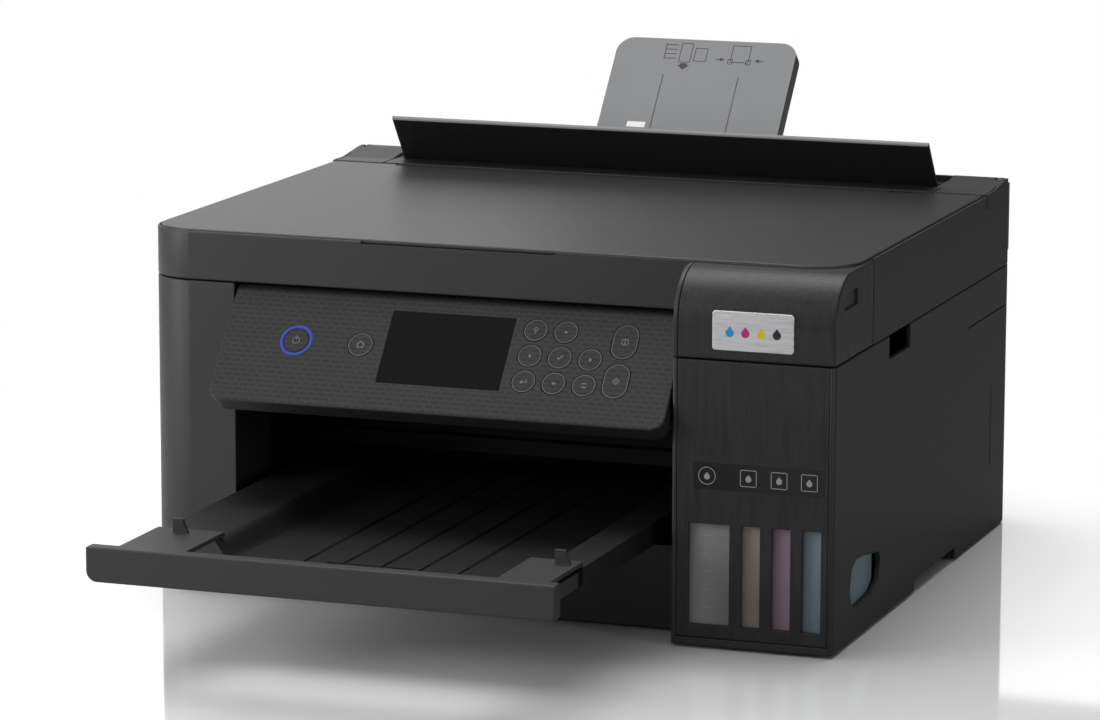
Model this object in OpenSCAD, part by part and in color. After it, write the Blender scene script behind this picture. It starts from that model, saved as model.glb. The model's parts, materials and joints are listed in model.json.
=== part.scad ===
// Tank-fed inkjet printer with scanner, tilting control panel, rear sheet feeder
// and a two-stage output tray. Built in body coordinates (x from the left side,
// y from the front plane, z from the floor) and centred by at_origin().

/* [Body] */
// Overall width
body_w = 375; // [370:1:390]
// Depth from the front plane to the rear plane
body_d = 320; // [318:1:335]
// Height from the floor to the closed lid
body_h = 187; // [186:1:196]
// Radius of the front left vertical corner
front_r = 26; // [20:1:30]
// Radius of the two rear vertical corners
rear_r = 22; // [18:1:24]
// Thickness of the outer walls
wall = 2.5; // [2.2:0.1:2.8]
// Gap left between neighbouring mouldings
gap = 0.6; // [0.5:0.1:0.8]
// Height of the rubber feet below the case
foot_h = 1.2; // [1:0.1:3]
// Radius of a rubber foot
foot_r = 9; // [6:0.5:11]

/* [Scanner unit] */
// Height of the scanner band at the front
scan_h = 25.4; // [24:0.2:26]
// Height of the deeper skirt at the right side
skirt_h = 43.5; // [42:0.5:46]
// Thickness of the document lid
lid_t = 7; // [6.6:0.1:7.4]
// Inset of the lid inside the scanner rim
lid_inset = 1.8; // [1.6:0.1:2.2]
// Thickness of the platen glass
glass_t = 3; // [2.5:0.1:3]
// Distance from the right side of the case to the platen glass
glass_right = 53; // [50:1:60]
// Distance from the sheet feeder to the platen glass
glass_rear = 20; // [18:1:26]
// Distance from the rear plane to the front edge of the sheet feeder
feeder_d = 64; // [62:1:66]
// Width of the finger notch in the lid's front edge
lid_notch_w = 103; // [80:1:120]

/* [Control panel] */
// Width of the column left of the paper opening
column_w = 51; // [48:1:54]
// Length of the panel from its hinge down to its lower edge
panel_l = 63.5; // [60:0.5:66]
// Thickness of the panel
panel_t = 10; // [9:0.5:11]
// Forward tilt of the panel from vertical
panel_tilt = 39; // [30:1:44]
// Radius of the panel's hinge roll
panel_r = 6; // [5.5:0.5:6.5]
// Side gap of the panel in its opening
panel_gap = 1.3; // [1:0.1:2]
// Diameter of a round key
key_d = 12; // [10:0.5:12.5]
// Spacing of the round keys across the panel
key_pitch = 15.7; // [15:0.1:16]
// Spacing of the key rows down the panel
key_row = 14.4; // [12:0.2:15]
// Travel of a key
key_travel = 0.8; // [0.6:0.1:1]

/* [Output tray] */
// Height of the sill under the paper opening
sill_z = 43.7; // [42:0.5:46]
// Height of the tray's rails
tray_h = 13; // [12:0.5:14]
// How far the tray's first stage stands out of the front
tray_out = 124; // [110:1:124]
// How far the paper stop stands out in front of the first stage
stop_out = 62; // [56:1:66]
// Length of the tray's first stage
tray_l = 230; // [215:1:236]
// Height of the lip of the paper stop
lip_h = 17; // [15:0.5:19]
// Thickness of the lip of the paper stop
lip_t = 8; // [6:0.5:10]
// Overhang of the lip past the tray's rails at each side
lip_over = 8; // [7:0.5:9]
// Distance between the grooves in the tray floor
groove_pitch = 19.8; // [18:0.2:21]

/* [Ink tanks] */
// Width of the ink tank unit
tank_w = 82; // [80:1:86]
// How far the tank unit stands out of the front plane
tank_out = 27.3; // [24:0.5:30]
// Radius of the rounded top front edge of the tank hood
hood_r = 25.3; // [20:0.5:25.5]
// Width of the thin frame at the left of the tank unit
fin_w = 2.4; // [2:0.1:3]
// Width of the black ink tank
black_w = 23; // [21:0.5:24]
// Width of a colour ink tank
colour_w = 14; // [12:0.5:14]
// Height of the ink tanks
tank_h = 96; // [86:1:100]
// Distance from the ink tanks back to the engine's side plate
tank_back = 17.9; // [16:0.1:36]
// Wall of an ink tank
tank_wall = 1.4; // [1:0.1:1.8]
// Lower edge of the tank windows
window_z = 12; // [11:0.5:15]
// Height of the tank windows
window_h = 50.5; // [44:0.5:54]

/* [Sheet feeder] */
// Distance from each side of the case to the feeder flap
flap_side = 34; // [32.5:0.5:39.5]
// Length of the feeder flap from its hinge
flap_l = 35.5; // [33:0.5:36]
// Thickness of the feeder flap
flap_t = 2.5; // [2:0.1:2.8]
// Forward lean of the open flap from vertical
flap_lean = 37.5; // [30:0.5:40]
// Slope of the paper support above horizontal
support_angle = 50; // [48:1:54]
// Width of the paper support
support_w = 105.5; // [90:0.5:120]
// Length of paper support above the case
support_out = 86; // [70:1:90]
// Thickness of the paper support
support_t = 8; // [6:0.5:8.5]
// Corner radius of the paper support
support_r = 10; // [6:1:14]
// Distance from the widest sheet to the sides of the paper opening
sheet_side = 16; // [15:0.5:21]
// Height of the edge guides above the hopper
guide_h = 12; // [8:0.5:13]

/* [Print engine] */
// Height of the middle of the feed roller
feed_z = 84; // [82:0.5:86]
// Radius of the feed roller
feed_r = 6; // [5:0.5:6.5]
// Radius of the eject roller
eject_r = 5; // [4:0.5:5.5]
// Width of the print carriage
carriage_w = 62; // [54:1:66]
// Radius of a belt pulley
pulley_r = 6; // [5:0.5:7]
// Number of teeth on the feed and eject gears
feed_teeth = 32; // [28:4:36]
// Number of teeth on the idler gear between them
idler_teeth = 63; // [59:2:63]
// Gear module
gear_m = 1; // [0.9:0.05:1]
// Sheet-metal thickness of the engine frame
metal_t = 1.2; // [1:0.1:1.6]

/* [Fits] */
// Radial clearance of a turning pin in its hole
fit = 0.06; // [0.04:0.01:0.09]
// Sliding clearance of drawers and slides
slide_gap = 0.4; // [0.3:0.05:0.6]

/* [Hidden] */
$fn = 40;
eps = 0.02;

// Seams of the case
seam_z = body_h - scan_h;
skirt_z = body_h - skirt_h;
case_top = seam_z - gap;
bay_top = skirt_z - gap;
tank_x = body_w - tank_w;
mid_x = body_w / 2;
floor_t = 2.5;

// Scanner and lid hinge line, and the feeder mouth behind the lid
hinge_y = body_d - 20;
hinge_z = body_h - 1;
hinge_r = 4;
pin_r = 2;
feeder_y = body_d - feeder_d;
cheek_t = 3;
flap_w = body_w - 2 * flap_side;
mouth_x0 = mid_x - flap_w / 2 - gap;
mouth_x1 = mid_x + flap_w / 2 + gap;
ear_x0 = mouth_x0 - cheek_t - gap;
ear_x1 = mouth_x1 + cheek_t + gap;
flap_y = body_d - 38;
flap_z = body_h - flap_t;
flap_pin_r = 1.5;

// Slope of the sheet feeder
hopper_y = body_d - 24;
hopper_t = 2.5;
hopper_len = 112;
support_drop = hopper_t + gap;
support_foot = 28;

// Paper path, tray and engine lines
sheet_x = (column_w + tank_x) / 2;
sheet_w = tank_x - column_w - 2 * sheet_side;
tray_gap = 3.2;
lip_x0 = column_w + tray_gap;
lip_x1 = tank_x - tray_gap;
tray_x0 = lip_x0 + lip_over;
tray_x1 = lip_x1 - lip_over;
tray_z = sill_z + 4.3;
tray_t = 2;
deck_t = 2;
deck_z = tray_z + tray_h - 1.4;
rail_top = deck_z - slide_gap;
lip_z = tray_z - 0.5;
feed_y = body_d - 130;
plate_y0 = feed_y - 118;
eject_y = feed_y - gear_m * (feed_teeth + idler_teeth);
side_x0 = 24;
side_x1 = body_w - 27;
belt_y = feed_y - 4;
belt_z = seam_z - 33.6;
pulley_x0 = 46;
pulley_x1 = side_x1 - 30;

// Lid and its barrel hinge
lid_x0 = lid_inset;
lid_x1 = body_w - lid_inset;
barrel_r = lid_t / 2;
lid_y = feeder_y - gap - barrel_r;
lid_hinge_z = body_h - barrel_r;
lid_pin_r = 1.5;
glass_top = body_h - lid_t - 3;
rim_z = glass_top - glass_t - 2;

// Control panel
panel_x0 = column_w + panel_gap;
panel_x1 = tank_x - panel_gap;
panel_y = panel_r;
panel_z = case_top - panel_r - 0.5;
panel_pin_r = 2.5;

// Ink tanks and their caps
tank_y0 = -tank_out + 3.4;
tank_z0 = window_z - 4;
tank_d = plate_y0 - tank_back - tank_y0;
black_x = tank_x + fin_w + 5.2;
colour_x = body_w - wall - 1.4 - 3 * colour_w - 2 * tank_pitch_gap();
neck_r = 5;
neck_h = 8;
cap_z = tank_z0 + tank_h + neck_h + 3;
cap_y = tank_y0 + 34;

// Middle of the footprint, from the lip of the stop to the raised paper support
front_y = -tray_out - stop_out;
support_back = hopper_y + (support_out * cos(support_angle))
  + (support_drop + support_t) * sin(support_angle);
mid_y = (front_y + support_back) / 2;

function tank_pitch_gap() = 1.4;

// ---------- helpers ----------
module at_origin() {
  translate([-mid_x, -mid_y, 0]) children();
}

module block(low, high) {
  translate(low) cube(high - low);
}

module rod_x(x0, x1, y, z, r) {
  translate([x0, y, z]) rotate([0, 90, 0]) cylinder(r = r, h = x1 - x0);
}

module along_x(x0, x1) {
  translate([x0, 0, 0]) rotate([90, 0, 90]) linear_extrude(x1 - x0) children();
}

module along_y(y0, y1) {
  translate([0, y1, 0]) rotate([90, 0, 0]) linear_extrude(y1 - y0) children();
}

module rise(z0, z1) {
  translate([0, 0, z0]) linear_extrude(z1 - z0) children();
}

// Rectangle with its own radius at each corner: front left, front right,
// rear right, rear left
module corner_rect(low, high, r) {
  difference() {
    translate(low) square(high - low);
    corner_cut([low[0], low[1]], [1, 1], r[0]);
    corner_cut([high[0], low[1]], [-1, 1], r[1]);
    corner_cut([high[0], high[1]], [-1, -1], r[2]);
    corner_cut([low[0], high[1]], [1, -1], r[3]);
  }
}

module corner_cut(at, way, r) {
  if (r > 0)
    difference() {
      translate([at[0] + min(way[0] * r, -way[0]), at[1] + min(way[1] * r, -way[1])])
        square([r + 1, r + 1]);
      translate([at[0] + way[0] * r, at[1] + way[1] * r]) circle(r);
    }
}

function inner(r, inset) = max(r - inset, 0.5);

// Plan of the case, drawn in by inset; the tank bay stands out at the right
module case_plan(inset) {
  corner_rect([inset, inset], [body_w - inset, body_d - inset],
    [inner(front_r, inset), 0, inner(rear_r, inset), inner(rear_r, inset)]);
  corner_rect([tank_x + (inset > 0 ? fin_w : 0), inset - tank_out],
    [body_w - inset, inset + 1], [inset > 0 ? 0.5 : 1.2, inner(2.5, inset), 0, 0]);
}

// Frame of the sheet feeder: y runs up the slope and z stands off it
module on_slope() {
  translate([0, hopper_y, body_h]) rotate([support_angle, 0, 0]) children();
}

// Frame of the control panel at rest: y runs up its face, z out of it
module on_panel() {
  translate([0, panel_y, panel_z]) rotate([90 - panel_tilt, 0, 0])
    translate([0, 0, panel_r]) children();
}

// ---------- case ----------
grip_y0 = 119;
grip_y1 = 201;
grip_h = 6.2;
grip_d = 20;

module grip_profile() {
  polygon([[grip_y0, -1], [grip_y0 + 4, foot_h + grip_h], [grip_y1, foot_h + grip_h],
    [grip_y1, -1]]);
}

module side_window() {
  polygon([[5, 20], [3, 28], [5.5, 37], [12, 41], [24, 40.5], [54, 36.5], [56.5, 31],
    [53, 22.5], [44, 18], [14, 16]]);
}

// Base pan: floor, rim, raised grips, tank shelf and waste pad tray
module lower_case() {
  inset = wall + 0.3;
  color("#2b2b2e") at_origin() {
    difference() {
      union() {
        difference() {
          rise(foot_h, foot_h + 12) case_plan(inset);
          rise(foot_h + floor_t, foot_h + 13) case_plan(inset + 2);
        }
        block([tank_x + fin_w + 2.5, tank_y0 - 0.5, foot_h + 1],
          [body_w - wall - 0.8, tank_y0 + tank_d + 1, tank_z0]);
        for (side = [0, 1])
          block([side ? body_w - inset - grip_d : inset, grip_y0 - 3, foot_h + 1],
            [side ? body_w - inset : inset + grip_d, grip_y1 + 3, foot_h + grip_h + 2]);
      }
      for (side = [0, 1])
        along_x(side ? body_w - grip_d : -1, side ? body_w + 1 : grip_d) grip_profile();
      for (x = [30, body_w - 30], y = [40, body_d - 40])
        translate([x, y, foot_h - 1]) cylinder(r = foot_r + 0.4, h = 2);
      // the rim stops below the tanks
      block([tank_x + fin_w, -tank_out, tank_z0], [body_w, tank_y0 + tank_d + 2, tank_z0 + 9]);
    }
    difference() {
      block([column_w + 39, feed_y - 70, foot_h + floor_t - 1], [tank_x - 43, feed_y + 40, sill_z - 16]);
      block([column_w + 41, feed_y - 68, foot_h + floor_t], [tank_x - 45, feed_y + 38, sill_z]);
    }
  }
}

module outer_walls() {
  difference() {
    rise(foot_h, case_top) case_plan(0);
    rise(foot_h - 1, case_top + 1) case_plan(wall);
    // the bay, the right side and the rear end lower than the front and left
    block([tank_x - 1, -tank_out - 1, bay_top], [body_w + 1, 1, body_h]);
    block([body_w - wall - 1, 0, bay_top], [body_w + 1, body_d, body_h]);
    block([tank_x, 0.5, bay_top], [body_w, wall + 1, body_h]);
    block([-1, hinge_y - 1, bay_top], [body_w + 1, body_d + 1, body_h]);
  }
}

// Outer shell with the paper opening, tank bay, grips and rear cover opening
module outer_case() {
  color("#303032") at_origin() {
    difference() {
      union() {
        outer_walls();
        // cheek behind the column that carries the panel's left pin
        block([column_w - wall, wall - 0.5, sill_z - 2], [column_w, cheek_y1, case_top]);
        // partition between the paper opening and the tank bay
        block([tank_x, -tank_out + 2, foot_h], [tank_x + fin_w, 1, bay_top]);
        block([tank_x, 0, foot_h + 12.4], [tank_x + fin_w, cheek_y1 + 14, bay_top]);
        block([tank_x, 1, bay_top - 1], [tank_x + fin_w, cheek_y1, case_top]);
        block([tank_x + fin_w - 0.5, 1, bay_top - 1], [tank_x + fin_w + 2.6, 14, case_top]);
      }
      along_y(-1, wall + eps) opening_outline();
      // open front of the tank bay, closed by the fascia
      block([tank_x + fin_w, -tank_out - 1, foot_h + 4], [body_w - wall, 0.5, body_h]);
      block([tank_x + fin_w + 2.6, 0, foot_h + 4], [body_w - wall, wall + 1, body_h]);
      along_x(body_w - wall - 1, body_w + 1) side_window();
      for (side = [0, 1])
        along_x(side ? body_w - wall - 1 : -1, side ? body_w + 1 : wall + 1) grip_profile();
      // finger notches under the scanner unit's side skirt
      block([body_w - wall - 1, 67, bay_top - 12], [body_w + 1, 107, bay_top + 1]);
      // short seam and air slot at the rear of the right side
      block([body_w - 0.8, body_d - 101, bay_top - 22], [body_w + 1, body_d - rear_r, bay_top - 21.2]);
      block([body_w - wall - 1, body_d - 51, 38], [body_w + 1, body_d - 49.6, 82]);
      // rear cover opening
      block([cover_x0, body_d - wall - 1, cover_z0], [cover_x1, body_d + 1, cover_z1]);
      // inlet opening at the rear left
      block([inlet_x0 - 0.5, body_d - wall - 1, inlet_z0 - 0.5],
        [inlet_x1 + 0.5, body_d + 1, inlet_z1 + 0.5]);
      // panel pin holes
      rod_x(column_w - wall - 1, column_w + 1, panel_y, panel_z, panel_pin_r + fit);
      rod_x(tank_x - 1, tank_x + wall, panel_y, panel_z, panel_pin_r + fit);
    }
  }
}

module opening_outline() {
  r = 8;
  difference() {
    translate([column_w, sill_z]) square([tank_x - column_w, body_h]);
    translate([column_w - 1, sill_z - 1]) square(r + 1);
  }
  intersection() {
    translate([column_w + r, sill_z + r]) circle(r);
    translate([column_w, sill_z]) square(r);
  }
}

cheek_y1 = feed_y - 144;
cover_x0 = 84;
cover_x1 = body_w - 84;
cover_z0 = 16;
cover_z1 = bay_top - 14.9;
cover_rib_h = cover_z1 - cover_z0 - 32;
cover_pitch = (cover_x1 - cover_x0 - 25) / 7;
inlet_x0 = 22;
inlet_x1 = 50;
inlet_z0 = 24;
inlet_z1 = 44;

module rubber_feet() {
  color("#1d1d1e") at_origin()
    for (x = [30, body_w - 30], y = [40, body_d - 40])
      translate([x, y, 0]) cylinder(r = foot_r, h = foot_h + 1);
}

window_xs = [black_x + 1, colour_x + 2.2, colour_x + colour_w + tank_pitch_gap() + 2.2,
  colour_x + 2 * (colour_w + tank_pitch_gap()) + 2.2];
window_ws = [black_w - 2, colour_w - 4.4, colour_w - 4.4, colour_w - 4.4];

// Front panel of the tank bay with a window for each tank
module tank_fascia() {
  color("#343437") at_origin()
    difference() {
      union() {
        block([tank_x + fin_w + 0.4, -tank_out, foot_h + 4.2],
          [body_w - wall - 0.3, -tank_out + 2.2, bay_top]);
        for (x = [tank_x + fin_w + 0.4, body_w - wall - 2.3])
          block([x, -tank_out + 1, foot_h + 8], [x + 2, tank_y0 - 0.2, bay_top - 4]);
      }
      for (i = [0 : 3])
        block([window_xs[i], -tank_out - 1, window_z],
          [window_xs[i] + window_ws[i], tank_y0, window_z + window_h]);
    }
}

// Deck that the tray slides on, with two runners and a hold-down lip at each side
module tray_guide() {
  y1 = feed_y + 50;
  color("#242426") at_origin() {
    block([column_w + 0.4, wall + 0.5, sill_z - 2.4], [tank_x - 0.4, y1, sill_z]);
    for (x = [tray_x0 + 4, tray_x1 - 10])
      block([x, lip_t + 1, sill_z - eps], [x + 6, y1, tray_z]);
    for (side = [0, 1]) mirror_x(side, sheet_x)
      block([column_w + 0.4, lip_t + 1, sill_z - 1], [tray_x0 - slide_gap, y1, tray_z + 4]);
    for (x = [column_w + 59, sheet_x + 8, tank_x - 58], y = [wall + 8, y1 - 4])
      block([x, y, foot_h + floor_t], [x + 3, y + 3, sill_z - 2.4 + eps]);
  }
}

module mirror_x(side, about) {
  if (side) translate([2 * about, 0, 0]) mirror([1, 0, 0]) children();
  else children();
}

// Push-in cover of the paper turn at the rear, with a finger recess and ribs
module rear_cover() {
  color("#2c2c2e") at_origin()
    difference() {
      union() {
        block([cover_x0 + 0.5, body_d - wall, cover_z0 + 0.5],
          [cover_x1 - 0.5, body_d, cover_z1 - 0.5]);
        for (side = [0, 1]) mirror_x(side, mid_x)
          block([cover_x0 + 4, body_d - 34, cover_z0 + 6],
            [cover_x0 + 6.5, body_d - wall + eps, cover_z1 - 6]);
        for (i = [0 : 7])
          along_x(cover_x0 + 12 + i * cover_pitch, cover_x0 + 14 + i * cover_pitch)
            difference() {
              translate([body_d - 30, cover_z0 + 8]) square([30 - wall + eps, cover_rib_h]);
              translate([body_d - 34, cover_z0 + 8 + cover_rib_h / 2]) circle(26);
            }
        along_x(cover_x0 + 6, cover_x1 - 6) difference() {
          translate([body_d - 10, cover_z0 + 8]) square([10 - wall + eps, cover_rib_h]);
          translate([body_d - 34, cover_z0 + 8 + cover_rib_h / 2]) circle(26);
        }
      }
      block([mid_x - 28, body_d - 1.6, cover_z1 - 18], [mid_x + 28, body_d + 1, cover_z1 - 6]);
    }
}

// ---------- sheet feeder ----------
// Moulding round the feed mouth: rear wall, cheeks for the flap and top strip
module feeder_frame() {
  z0 = bay_top + gap;
  color("#303033") at_origin()
    difference() {
      union() {
        difference() {
          rise(z0, body_h) corner_rect([0, 0], [body_w, body_d], [0, 0, rear_r, rear_r]);
          rise(z0 - 1, body_h + 1)
            corner_rect([wall, -1], [body_w - wall, body_d - wall],
              [0, 0, rear_r - wall, rear_r - wall]);
          block([-1, -1, z0 - 1], [body_w + 1, hinge_y - 1 + gap, body_h + 1]);
        }
        for (side = [0, 1]) mirror_x(side, mid_x) {
          // cheek beside the mouth
          block([mouth_x0 - cheek_t, feeder_y + gap, seam_z - 10],
            [mouth_x0, body_d - wall + eps, body_h]);
          // corner deck behind the hinge ears
          difference() {
            rise(body_h - 2.4, body_h)
              corner_rect([0, hinge_y + hinge_r + gap], [mouth_x0, body_d],
                [0, 0, 0, rear_r]);
          }
          // outer post of the hinge pin
          rod_x(wall + 0.5, 5.6, hinge_y, hinge_z, hinge_r);
          block([wall + 0.5, hinge_y - hinge_r + 1, seam_z - 12],
            [5.6, body_d - 8, body_h - 1]);
          block([wall - eps, hinge_y + 1, seam_z - 12], [5.6, body_d - 8, body_h - 1]);
        }
        // strip in front of the mouth, and the wall below it
        block([mouth_x0 - 1, feeder_y + gap, flap_z], [mouth_x1 + 1, flap_y - flap_t - 3.8, body_h]);
        block([mouth_x0 - 1, feeder_y + gap, seam_z + 5], [mouth_x1 + 1, feeder_y + gap + 2, body_h]);
        // floor that the closed flap lies over, behind the mouth
        block([mouth_x0 - 1, hopper_y + 18, body_h - 6], [mouth_x1 + 1, body_d - wall + eps, body_h - 4]);
      }
      rod_x(mouth_x0 - 2.4, mouth_x1 + 2.4, flap_y, flap_z, flap_pin_r + fit);
      for (side = [0, 1]) mirror_x(side, mid_x)
        rod_x(3.4, mouth_x0 - 0.8, hinge_y, hinge_z, pin_r);
    }
}

// Sloping plate that the sheets lean on, with rails for the paper support behind it
module hopper() {
  rail_z = -(support_drop + support_t + slide_gap);
  color("#28282a") at_origin() on_slope()
    difference() {
      union() {
        block([mouth_x0 + 1, -hopper_len, -hopper_t], [mouth_x1 - 1, -4, 0]);
        for (side = [0, 1]) mirror_x(side, mid_x) {
          x = mid_x - support_w / 2;
          block([x - 3 - slide_gap, -hopper_len, rail_z - 2], [x - slide_gap, -6, -hopper_t + eps]);
          block([x - 3 - slide_gap, -hopper_len, rail_z - 2], [x + 4, -6, rail_z]);
        }
      }
      // slots for the feet of the edge guides
      for (y = [-60, -84])
        block([sheet_x - sheet_w / 2 - 22, y, -hopper_t - 1],
          [sheet_x + sheet_w / 2 + 22, y + 4, 1]);
      // cut-out for the pickup roller
      block([sheet_x - 24, -hopper_len - 1, -hopper_t - 1], [sheet_x + 24, -hopper_len + 16, 1]);
    }
}

// Edge guide for the left side of the sheets; the right one is its mirror
module guide_shape() {
  x = sheet_x - sheet_w / 2 - 1;
  on_slope() {
    difference() {
      along_x(x - 2.4, x) guide_outline();
      block([x - 3, -60, 4], [x + 1, -40, 8]);
    }
    block([x - 16, -90, 0], [x, -36, 1.6]);
    for (y = [-60, -84])
      block([x - 16, y + 0.5, -hopper_t + 0.3], [x - 2, y + 3.5, 0.5]);
  }
}

module guide_outline() {
  polygon([[-96, 0], [-90, guide_h], [-26, guide_h], [-22, guide_h - 4], [-22, 0]]);
}

module edge_guide_left() {
  color("#3a3a3d") at_origin() guide_shape();
}

module edge_guide_right() {
  color("#3a3a3d") at_origin() mirror_x(1, sheet_x) guide_shape();
}

// Flap over the feed mouth, leaning forward over the lid
module feeder_flap() {
  x0 = mid_x - flap_w / 2;
  x1 = mid_x + flap_w / 2;
  color("#151517") at_origin()
    translate([0, flap_y, flap_z]) rotate([90 + flap_lean, 0, 0]) {
      difference() {
        union() {
          along_x(x0, x1) {
            circle(flap_t);
            square([flap_l, flap_t]);
          }
          for (x = [x0 + 1, mid_x - 1, x1 - 3])
            block([x, 0, -2], [x + 2, flap_l - 6, 0.2]);
        }
        block([x0 + 12, flap_l - 5, flap_t - 0.5], [x1 - 12, flap_l - 3.8, flap_t + 1]);
      }
      for (x = [x0 - 2, x1 - 1])
        rod_x(x, x + 3, 0, 0, flap_pin_r);
    }
}

// Paper support pulled out of the rear, ribbed on its back
module paper_support() {
  x0 = mid_x - support_w / 2;
  x1 = mid_x + support_w / 2;
  top = -support_drop;
  color("#919395") at_origin() on_slope()
    difference() {
      rise(top - support_t, top)
        corner_rect([x0, -support_foot], [x1, support_out], [1, 1, support_r, support_r]);
      // pocket in the back, leaving a rim and two ribs
      for (x = [x0 + 2, mid_x - 14, mid_x + 22])
        block([x, -support_foot + 2, top - support_t - 1],
          [min(x + 34, x1 - 2), support_out - support_r, top - 1.8]);
      // slot low in the left half
      block([x0 + 12, 12, top - support_t - 1], [x0 + 21, 17, top + 1]);
      for (x = [mid_x - 22, mid_x + 22])
        block([x, -support_foot - 1, top - 0.3], [x + 0.6, support_out - 24, top + 1]);
    }
}

// Two steel pins on which the scanner unit and the lid turn
module hinge_pins() {
  color("#b9bcc0") at_origin()
    for (side = [0, 1]) mirror_x(side, mid_x)
      rod_x(3.6, mouth_x0 - 1, hinge_y, hinge_z, pin_r);
}

// ---------- scanner unit ----------
rim_top = body_h - 0.8;
base_z = seam_z + 2;
base_t = 2;
hood_y1 = 37.4;
ear_y1 = hinge_y - hinge_r - 1;

module base_plan(inset) {
  r = inner(front_r, inset);
  corner_rect([inset, inset], [body_w - inset, feeder_y], [r, r, 0, 0]);
}

// Lower housing of the scanner: band, floor, hinge ears and the right-hand skirt
module scanner_base() {
  color("#303033") at_origin() difference() {
    union() {
      difference() {
        rise(seam_z, rim_top) base_plan(0);
        rise(base_z + base_t, body_h) base_plan(wall);
        rise(seam_z - 1, base_z) base_plan(wall);
        // step that the lid's edge sits in
        rise(body_h - lid_t - 0.4, body_h) base_plan(lid_inset - gap);
        block([-1, feeder_y - wall, body_h - lid_t - 0.6], [body_w + 1, feeder_y + 1, body_h]);
        // lowered rim at the finger notch
        block([notch_x0, -1, rim_top - 1.4], [notch_x0 + lid_notch_w, wall, body_h]);
      }
      block([wall, feeder_y - wall, base_z], [body_w - wall, feeder_y, body_h - lid_t - 0.6]);
      for (side = [0, 1]) mirror_x(side, mid_x) {
        // ear beside the feeder, ending in a hinge barrel
        block([0, feeder_y - eps, seam_z], [wall, hinge_y - 1, body_h]);
        // ramp up to the barrel
        along_x(eps, ear_x0) polygon([[hinge_y - 34, body_h - 0.5], [hinge_y - 10, body_h + 2.4],
          [hinge_y - 7, body_h + 2.8], [hinge_y - 7, body_h - 0.5]]);
        along_x(eps, wall) polygon([[hinge_y - 8, body_h - 1], [hinge_y - 8, body_h + 2.6],
          [hinge_y - 4, body_h + 3], [hinge_y - 1, body_h + 3], [hinge_y - 1, body_h - 1]]);
        block([eps, feeder_y, body_h - 2.4], [ear_x0, ear_y1, body_h]);
        block([ear_x0 - 2.4, feeder_y - eps, base_z], [ear_x0, hinge_y - 12, body_h]);
        difference() {
          union() {
            rod_x(6.4, ear_x0, hinge_y, hinge_z, hinge_r);
            block([6.4, hinge_y - 9, hinge_z - 2.6], [ear_x0, hinge_y - 1, hinge_z + 1]);
            along_x(6.4, ear_x0) polygon([[hinge_y - 8, body_h - 0.5], [hinge_y - 8, body_h + 2.6],
              [hinge_y - 4, body_h + 3], [hinge_y, body_h + 3], [hinge_y, body_h - 0.5]]);
          }
          rod_x(6, ear_x0 + 1, hinge_y, hinge_z, pin_r + fit);
        }
      }
      // deeper skirt on the right
      block([body_w - wall, hood_y1 + gap, skirt_z], [body_w, hinge_y - 1, seam_z + 1]);
      // rod bosses
      for (x = [9, rod_x1])
        block([x, rod_y - 5, base_z + 1], [x + 5, rod_y + 5, rod_z + 3.8]);
    }
    // room for the tank hood's side
    block([body_w - wall - 0.3, -1, seam_z - 1], [body_w + 1, hood_y1 + gap, body_h + 1]);
    rod_x(10, rod_x1 + 4, rod_y, rod_z, rod_r);
    // groove that carries the lid's edge line past the feeder
    for (x = [lid_inset - gap, body_w - lid_inset])
      block([x, feeder_y - 1, body_h - 0.9], [x + gap, hinge_y - 7, body_h + 1]);
  }
}

notch_x0 = 120;
rod_r = 2.5;
rod_z = base_z + base_t + 3.6;
glass_x0 = 18;
glass_y0 = 14;
glass_x1 = body_w - glass_right;
glass_y1 = feeder_y - glass_rear;
rod_x1 = glass_x1 + 6;
rod_y = (glass_y0 + glass_y1) / 2 + 5;

// Frame under the lid that holds the glass and the lid's hinge lugs
module scanner_top_frame() {
  top = body_h - lid_t - 0.6;
  color("#29292b") at_origin() difference() {
    union() {
      difference() {
        union() {
          rise(glass_top, top) base_plan(wall + 0.3);
          block([glass_x0 - 3, glass_y0 - 3, rim_z], [glass_x1 + 3, glass_y1 + 3, top - 0.1]);
        }
        block([-1, feeder_y - wall - 0.3, 0], [body_w + 1, feeder_y + 1, body_h]);
        block([glass_x0 - 0.2, glass_y0 - 0.2, rim_z + 2],
          [glass_x1 + 0.2, glass_y1 + 0.2, glass_top]);
        block([glass_x0 + 4, glass_y0 + 4, rim_z - 1], [glass_x1 - 4, glass_y1 - 4, body_h]);
      }
      for (side = [0, 1]) mirror_x(side, mid_x) {
        rod_x(lug_x0, lug_x1, lid_y, lid_hinge_z, barrel_r - 0.1);
        block([lug_x0, lid_y - barrel_r + 0.1, top - 0.5], [lug_x1, lid_y + 1, lid_hinge_z]);
      }
    }
    for (side = [0, 1]) mirror_x(side, mid_x)
      rod_x(lug_x0 - 1, lug_x1 + 1, lid_y, lid_hinge_z, lid_pin_r);
  }
}

lug_x0 = 40.6;
lug_x1 = 51.4;

module platen_glass() {
  color("#9fb0b4", 0.5) at_origin()
    block([glass_x0, glass_y0, glass_top - glass_t], [glass_x1, glass_y1, glass_top]);
}

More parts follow.
